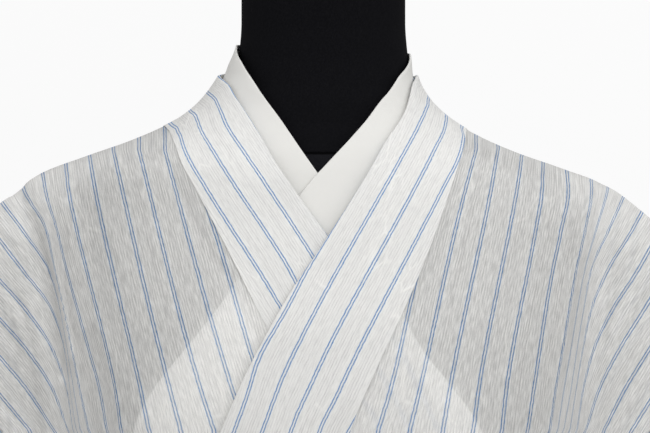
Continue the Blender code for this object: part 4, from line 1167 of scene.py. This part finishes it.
# The overlap panels: tapered lengths sewn to the inner edges of the two fronts. Each comes to a
# point under the collar above, and ends in the free front edge, turned in and stitched, below.
COLLAR_WIDTH = FREE_EDGE - COLLAR_END_SEAM
SEAM_ALLOWANCE = 0.010
SEAM_SET_OFF = 0.0006
OVERLAP_HEM_SHARE = 5 / 39


def turned_edge(end, turned_back, count):
    """Places across a cloth whose edge is turned in, and how far inside it they lie."""
    places = np.concatenate((np.linspace(0, end, count), [end],
                             np.linspace(end, end - turned_back, 6)))
    return places, np.concatenate((np.zeros(count), [HEM_TURN], np.full(6, 2 * HEM_TURN)))


def overlap_panel(side):
    tip = overlap_tip_height(side)
    skirt, sunk = turned_hem(HEM, COLLAR_END, 60)
    upper = np.linspace(COLLAR_END + 0.0015, tip, 66)[:, None]
    height = np.concatenate((skirt, upper))
    sunk = np.concatenate((sunk, 0 * upper))
    seam = inner_front_way(side, height)
    collar = collar_seam_way(side, height)
    allowance = SEAM_ALLOWANCE * ease(tip - height, 0.0, 0.05)
    edge = np.where(height <= COLLAR_END, collar + COLLAR_WIDTH, collar - allowance)
    seam = seam + SEAM_SET_OFF
    part, turned = turned_edge(1.0, OVERLAP_HEM_SHARE, 40)
    way = seam + (edge - seam) * part
    sunk = sunk + turned * np.where(height <= COLLAR_END, 1.0, 0.2)
    points = drape.point(side, way, height, layer_out(side, way, height) - sunk)
    return tilted(points), stacked(seam - way, -(height - HEM))


for side, name in reversed(SIDES.items()):
    overlap_piece = cloth_piece("overlap_panel_" + name, *overlap_panel(side), crepe,
                                "striped_crepe", "overlap_" + name)

# The collar: one long band folded double along its outer edge, with the seam turned in. It runs
# from the wearer's left end up round the neck, and down under itself to the right end.
COLLAR_HALF_WALL = 0.0010
FRONT_STATIONS = (1.0, 0.89, 0.78, 0.66, 0.58, 0.46, 0.34, 0.24, 0.15, 0.08, 0.035, 0.012)
SKIRT_STATIONS = (0.8006, 0.89, 0.97, 1.02)
NAPE_STATIONS = (0.0, 0.1, 0.23333, 0.38333, 0.54167, 0.69167, 0.85, 1.0)
COLLAR_ACROSS = 25
COLLAR_ROWS = 300
COLLAR_RIM = 0.0008

# The pairs of stripes on the collar, as on the fronts; the first one lies right at its fold
COLLAR_STRIPE_HEIGHTS = STRIPE_HEIGHTS + (1.3850, 1.4000, 1.4110, 1.4180)
COLLAR_STRIPES = {
    WEARERS_LEFT: (
        (-64.0, -52.5, -40.5, -25.0, -11.0, 5.1, 21.0, 36.5, 44.5, 51.5, 59.0, 61.7),
        (-41.8, -31.1, -18.7, -5.0, 9.6, 24.8, 40.1, 55.2, 63.7, 70.4, 73.0, 76.0),
        (-20.3, -9.8, 2.6, 16.5, 31.2, 46.1, 60.7, 74.4, 81.8, 83.5, 87.0, 91.0),
        (-0.6, 10.8, 23.6, 37.4, 51.6, 65.8, 79.6, 92.4, 95.0, 97.5, 102.0, 106.0),
        (20.0, 32.0, 45.0, 58.5, 72.0, 85.0, 98.0, 110.0, 112.0, 114.0, 118.0, 122.0),
    ),
    WEARERS_RIGHT: (
        (-81.0, -66.0, -51.0, -34.0, -19.0, -2.0, 15.0, 34.0, 44.5, 54.5, 63.0, 66.5),
        (-60.0, -45.0, -30.0, -13.0, 1.5, 18.3, 36.0, 53.9, 64.5, 71.0, 77.5, 82.0),
        (-39.0, -20.0, -4.0, 9.5, 22.5, 39.3, 57.4, 74.3, 83.3, 87.0, 92.5, 97.0),
        (-18.0, -3.0, 11.8, 27.3, 43.5, 60.9, 77.8, 92.8, 97.5, 101.5, 107.0, 112.0),
        (2.0, 16.0, 32.0, 48.0, 65.0, 82.0, 98.0, 111.0, 114.0, 118.0, 123.0, 128.0),
    ),
}
AT_NECK_FOLD = -0.04
SEEN_ON_COLLAR = (1.19, 1.392)


def collar_edge(side, height):
    """Height and way round of the collar's free edge, across from a point of its seam."""
    above, fall = np.maximum(height, SASH_MIDDLE), below_sash(height)
    edge_height = read(COLLAR_LINES[side], "edge_height", above)
    edge_way = drape.front_way(side, read(COLLAR_LINES[side], "edge_across", above), edge_height)
    edge_way = edge_way + (FREE_EDGE - edge_way) * fall
    return height + (edge_height - above) * (1 - fall), edge_way


def straight_across(side, ways, heights, parts):
    """Ways round along a line that is straight when seen from the front."""
    ends = [drape.point(side, way, height)[..., 0] for way, height in zip(ways, heights)]
    height = heights[0] + (heights[1] - heights[0]) * parts
    return drape.front_way(side, side * (ends[0] + (ends[1] - ends[0]) * parts), height)


def collar_controls(side):
    """The collar's cross-sections: where its seam is, and way, height and out of each place."""
    parts = np.linspace(0, 1, COLLAR_ACROSS)
    top = shoulder_point(NECK_CUT[side])[1]
    stations = []
    for height in SKIRT_STATIONS + tuple(top - level * (top - SASH_MIDDLE)
                                         for level in FRONT_STATIONS):
        seam_way = collar_seam_way(side, np.array(height))
        seam = drape.point(side, seam_way, height, layer_out(side, seam_way, height))
        edge_height, edge_way = collar_edge(side, np.array(height))
        heights = height + (edge_height - height) * parts
        if height < SASH_MIDDLE - 1e-6:
            ways = seam_way + (edge_way - seam_way) * parts
        else:
            ways = straight_across(side, (seam_way, edge_way), (height, edge_height), parts)
            level = np.array((top - height) / (top - SASH_MIDDLE))
            if level < OVERLAP_TIP_LEVEL + 0.01:
                seam = body_rows(side, 1, np.zeros(1), level, tilt=False)[0][0]
        stations.append((seam, ways, heights, layer_out(side, ways, heights)))
    for around in NAPE_STATIONS:
        face, level = (1, 0.0) if around == 0 else (-1, around * NAPE_LEVEL)
        seam = body_rows(side, face, np.zeros(1), np.array(level), tilt=False)[0][0]
        edge_height = read(NAPE, "edge_height", around)
        edge_height = edge_height + (COLLAR_TOP[side] - NAPE_TOP) * (1 - ease(around, 0.0, 0.7))
        heights = seam[2] + (edge_height - seam[2]) * parts
        near, far = drape.side_way(side, heights), drape.back_way(side, heights)
        stations.append((seam, near + (far - near) * around, heights, 0 * parts))
    return [np.array(values) for values in zip(*stations)]


def collar_width(side, points, front):
    """Width on the cloth across the collar, from the stripes seen on it and the real distances.

    Low on the chest the pairs go on evenly from the seam, and round the neck they go on at the
    distance from the fold at which they were last seen.
    """
    distance = summed(step_lengths(points, 1)) / STRIPE_PITCH
    seen = seen_from_front(points)
    count = stripe_count(COLLAR_STRIPES[side], COLLAR_STRIPE_HEIGHTS,
                         side * seen[..., 0], seen[..., 2])
    at_seam = (count + distance)[:, 2:front].mean(axis=1)
    height = points[:, front // 2, 2]
    lower, upper = [np.argmax(height > level) for level in SEEN_ON_COLLAR]
    at_seam[:lower] = at_seam[lower]
    even = at_seam[:, None] - distance
    width = even + (count - even) * ease(height, SEEN_ON_COLLAR[0], 1.22)[:, None]
    tip = np.argmax(points[:, front - 1, 2])
    shift = (AT_NECK_FOLD - count[upper, front - 1]) * ease(np.arange(len(points)), upper, tip)
    rows = np.arange(len(points))
    fold = np.stack([np.interp(np.linspace(0, rows[-1], 4 * len(rows)), rows, values)
                     for values in points[:, front - 1].T], axis=-1)
    from_fold = np.stack([np.linalg.norm(row[:, None] - fold, axis=2).min(axis=1)
                          for row in points]) / STRIPE_PITCH
    carried = count[upper] - from_fold[upper] + from_fold + shift[:, None]
    width[upper:] = carried[upper:]
    width[:, front:] = width[:, front - 1:front] - from_fold[:, front:]
    return (width + 0.5) * STRIPE_PITCH


def resampled(at, lengths, rows):
    """Rows of values on a smooth curve through the given ones."""
    return np.stack([smooth_read(at, lengths, values) for values in rows.T], axis=-1)


def half_collar(side):
    seams, *tables = collar_controls(side)
    places = drape.point(side, *tables)
    lengths = summed(step_lengths(places[:, (0, -1)], 0).mean(axis=1))
    at = np.linspace(0, lengths[-1], COLLAR_ROWS)
    seam = resampled(at, lengths, seams)
    tables = [resampled(at, lengths, values) for values in tables]
    off = seam - drape.point(side, *[values[:, 0] for values in tables])
    parts, swing = folded_band(COLLAR_ACROSS, COLLAR_ACROSS)
    way, height, out = [read_across(values, parts) for values in tables]
    ends = np.minimum(at / 0.004, 1.0)[:, None]
    rise = COLLAR_HALF_WALL * np.cos(swing) * (0.15 + 0.85 * ends)
    points = drape.point(side, way, height, out + rise * (1 + 0.25 * np.sin(np.pi * parts)))
    points += off[:, None, :] * np.clip(1 - parts / 0.25, 0, 1)[None, :, None]
    ahead = unit(points[:, COLLAR_ACROSS - 1] - points[:, COLLAR_ACROSS - 2])
    points += ahead[:, None, :] * (COLLAR_HALF_WALL * np.sin(swing))[None, :, None]
    points[:, (0, -1)] += unit(points[:, 0] - points[:, 1])[:, None, :] * COLLAR_RIM
    points = tilted(points)
    along = side * (at[:, None] - lengths[-1])
    return points, stacked(collar_width(side, points, COLLAR_ACROSS + 1), along)


collar_piece = band_piece("collar_band", [half_collar(side) for side in SIDES],
                          crepe_double, "striped_crepe", "collar")

# The sleeves: one cloth width each, folded over at the top and sewn into a loop with a rounded
# lower corner. The body side is open below the armhole, and so is the cuff above its closing.
SLEEVE_WIDTH = 0.31
SLEEVE_DROP = 0.46
SLEEVE_TOP_SLOPE = (55, 63)
CUFF_INWARD = 8
CUFF_OPENING = 0.21
SLEEVE_CORNER_RADIUS = 0.08
SLEEVE_SEAM_SET_OFF = 0.0012
SLEEVE_INNER_EDGE = named_columns("part across half_gap", (
    (0.00, 0.1790, 0.0300),
    (0.15, 0.1840, 0.0290),
    (0.45, 0.1905, 0.0240),
    (0.75, 0.1950, 0.0170),
    (1.00, 0.1960, 0.0080),
))
# Soft folds down the sleeve: place from the armhole seam, and depth
SLEEVE_FOLDS = ((0.055, 0.007), (0.125, -0.006), (0.190, 0.008), (0.262, -0.006))
SLEEVE_FOLD_SPREAD = 0.024
SLEEVE_GAP = 0.007
SLEEVE_GAP_SWELL = 0.012
CUFF_GAP = 0.016
CUFF_GAP_SEWN = 0.0030
CUFF_CLOSES = (CUFF_OPENING - 0.04, CUFF_OPENING + 0.05)
SLEEVE_EASES = (0.0, 0.35)
SLEEVE_FOLDS_DOWN = (0.02, 0.30)
SLEEVE_FOLDS_ACROSS = (0.0, 0.15)
CUFF_HEM = 0.009


def sleeve_inner_edge(side, face, lengths):
    """The edge on the body side: the armhole seam, then the open edge hanging below it."""
    levels = np.linspace(0, OVERLAP_TIP_LEVEL, 40)
    seam = np.array([body_rows(side, face, np.ones(1), np.array(level), tilt=False)[0][0]
                     for level in levels])
    sewn = summed(step_lengths(seam, 0))
    hanging = SLEEVE_DROP - sewn[-1]
    parts = np.linspace(0, 1, 8)[1:]
    across = side * read(SLEEVE_INNER_EDGE, "across", parts)
    along = -face * read(SLEEVE_INNER_EDGE, "half_gap", parts)
    points = np.concatenate((seam, stacked(across, along, seam[-1, 2] - hanging * parts)))
    return resampled(lengths, np.concatenate((sewn, sewn[-1] + hanging * parts)), points)


def sleeve_points(side):
    """The whole loop: down the front, under the bottom and up the back, from body to cuff."""
    along, inward = [values[:, None] for values in turned_edge(SLEEVE_WIDTH, CUFF_HEM, 90)]
    steps = np.linspace(0, 1, 65)
    slopes = np.radians(SLEEVE_TOP_SLOPE[0] + np.diff(SLEEVE_TOP_SLOPE) * steps[:-1])
    run, drop = summed(np.cos(slopes) / 64), summed(np.sin(slopes) / 64)
    part = along / SLEEVE_WIDTH
    start_across, start_height = shoulder_point(SLEEVE_SEAM)
    top_across = side * (start_across + SLEEVE_WIDTH * np.interp(part, steps, run))
    top_height = start_height - SLEEVE_WIDTH * np.interp(part, steps, drop)
    start = np.array((side * start_across, 0.0, start_height))
    sway = 0 * along
    for place, depth in SLEEVE_FOLDS:
        sway = sway + depth * np.exp(-((along - place) / SLEEVE_FOLD_SPREAD) ** 2)
    past = np.maximum(along - (SLEEVE_WIDTH - SLEEVE_CORNER_RADIUS), 0.0)
    cut = SLEEVE_CORNER_RADIUS - np.sqrt(np.maximum(SLEEVE_CORNER_RADIUS ** 2 - past ** 2, 0.0))
    tip = math.radians(CUFF_INWARD)
    full = two_paces(0.02, SLEEVE_DROP, 10, 120)
    down = (full / SLEEVE_DROP)[None, :]
    layers = []
    for face in (1, -1):
        edge = sleeve_inner_edge(side, face, full)
        length = full[None, :] - cut * down ** 3
        inner = (edge - start)[None] * (length / np.maximum(full[None, :], 1e-9))[..., None]
        outer_across = -side * math.sin(tip) * length
        outer_height = -math.cos(tip) * length
        across = inner[..., 0] * (1 - part) + outer_across * part
        height = inner[..., 2] * (1 - part) + outer_height * part
        closing = ease(length, *CUFF_CLOSES)
        swell = np.sin(np.clip(length / CUFF_OPENING, 0, 1) * math.pi)
        cuff_gap = CUFF_GAP * np.maximum(swell, 0.0) ** 0.6
        cuff_gap = np.maximum(cuff_gap * (1 - closing), CUFF_GAP_SEWN)
        soft = ease(part, *SLEEVE_EASES)
        middle_gap = SLEEVE_GAP + SLEEVE_GAP_SWELL * np.sin(
            math.pi * np.minimum(down * 1.15, 1.0))
        loose = middle_gap * (1 - part ** 3) + cuff_gap * part ** 3
        gap = np.abs(edge[None, :, 1]) * (1 - soft)
        gap = gap + loose * soft * np.sqrt(np.minimum(length / 0.04, 1.0))
        gap = np.maximum(gap - inward * np.minimum(length / 0.01, 1.0), 0.0)
        swayed = ease(length, *SLEEVE_FOLDS_DOWN) * ease(part, *SLEEVE_FOLDS_ACROSS)
        depth = -face * gap + sway * swayed
        layers.append(stacked(top_across + across, depth, top_height + height))
    front, back = layers
    low = (front[:, -1] + back[:, -1]) / 2 - np.array((0, 0, 0.005))
    turn = np.linspace(0, 1, 9)[1:-1][None, :, None]
    bottom = (front[:, -1:] * (1 - turn) ** 2 + back[:, -1:] * turn ** 2
              + 2 * turn * (1 - turn) * (2 * low[:, None] - (front[:, -1:] + back[:, -1:]) / 2))
    points = np.concatenate((front, bottom, back[:, ::-1]), axis=1)
    points = np.concatenate((points[:, :-1], points[:, :1]), axis=1)
    points[0] += unit(points[1] - points[0]) * SLEEVE_SEAM_SET_OFF
    down_way = np.concatenate((-full, np.linspace(-SLEEVE_DROP, -SLEEVE_DROP - 0.01, 7),
                               -2 * SLEEVE_DROP + full[::-1]))
    fold = along + 2 * np.where(inward > HEM_TURN, SLEEVE_WIDTH - along, 0.0)
    return tilted(points), stacked(SLEEVE_SEAM + fold, down_way[None, :])


for side, name in SIDES.items():
    sleeve_mesh = sheet_mesh("sleeve_loop_" + name, *sleeve_points(side))
    sleeve_piece = placed("sleeve_loop_" + name, rolled(sleeve_mesh), crepe,
                          "striped_crepe", "sleeve_" + name)

# The sash: a plain undyed band, folded double, that goes once round the waist over the fronts and
# holds the wrap shut. Its end is tucked in behind.
SASH_OUT = 0.0050
SASH_HALF_WALL = 0.0009
# Creases along the sash: height, slope, where they start and end on the way round, and depth
SASH_CREASES = (
    (1.072, 0.020, 0.30, 0.62, -0.0009),
    (1.040, -0.018, 0.44, 0.78, -0.0008),
    (1.056, 0.010, 0.05, 0.34, -0.0010),
    (1.064, -0.014, 0.66, 0.97, -0.0009),
    (1.034, 0.012, 0.12, 0.48, -0.0007),
)
SASH_CREASE_SPREAD = 0.0045


def sash_points():
    rise, swing = [values[:, None] for values in folded_band(19, 19)]
    heights = SASH_BOTTOM + (SASH_TOP - SASH_BOTTOM) * rise + SASH_HALF_WALL * np.sin(swing)
    share = np.linspace(0, 1, 301)[None, :]
    way = drape.back_way(WEARERS_LEFT, heights) * (2 * share - 1)
    wrinkle = 0 * way
    for height, slope, start, end, depth in SASH_CREASES:
        middle = height + slope * (share - 0.5)
        fade = ease(share, start, start + 0.06) * (1 - ease(share, end - 0.06, end))
        wrinkle += depth * fade * np.exp(-((heights - middle) / SASH_CREASE_SPREAD) ** 2)
    out = SASH_OUT + SASH_HALF_WALL * np.cos(swing) + wrinkle
    return drape.point(WEARERS_LEFT, way, heights, out), stacked(0.8 * share, heights)


sash_cotton = plain_cotton("sash_cotton", (0.70, 0.675, 0.60), 150, 0.0004)
sash_piece = cloth_piece("waist_sash", *sash_points(), sash_cotton, "sash_cloth", "sash")
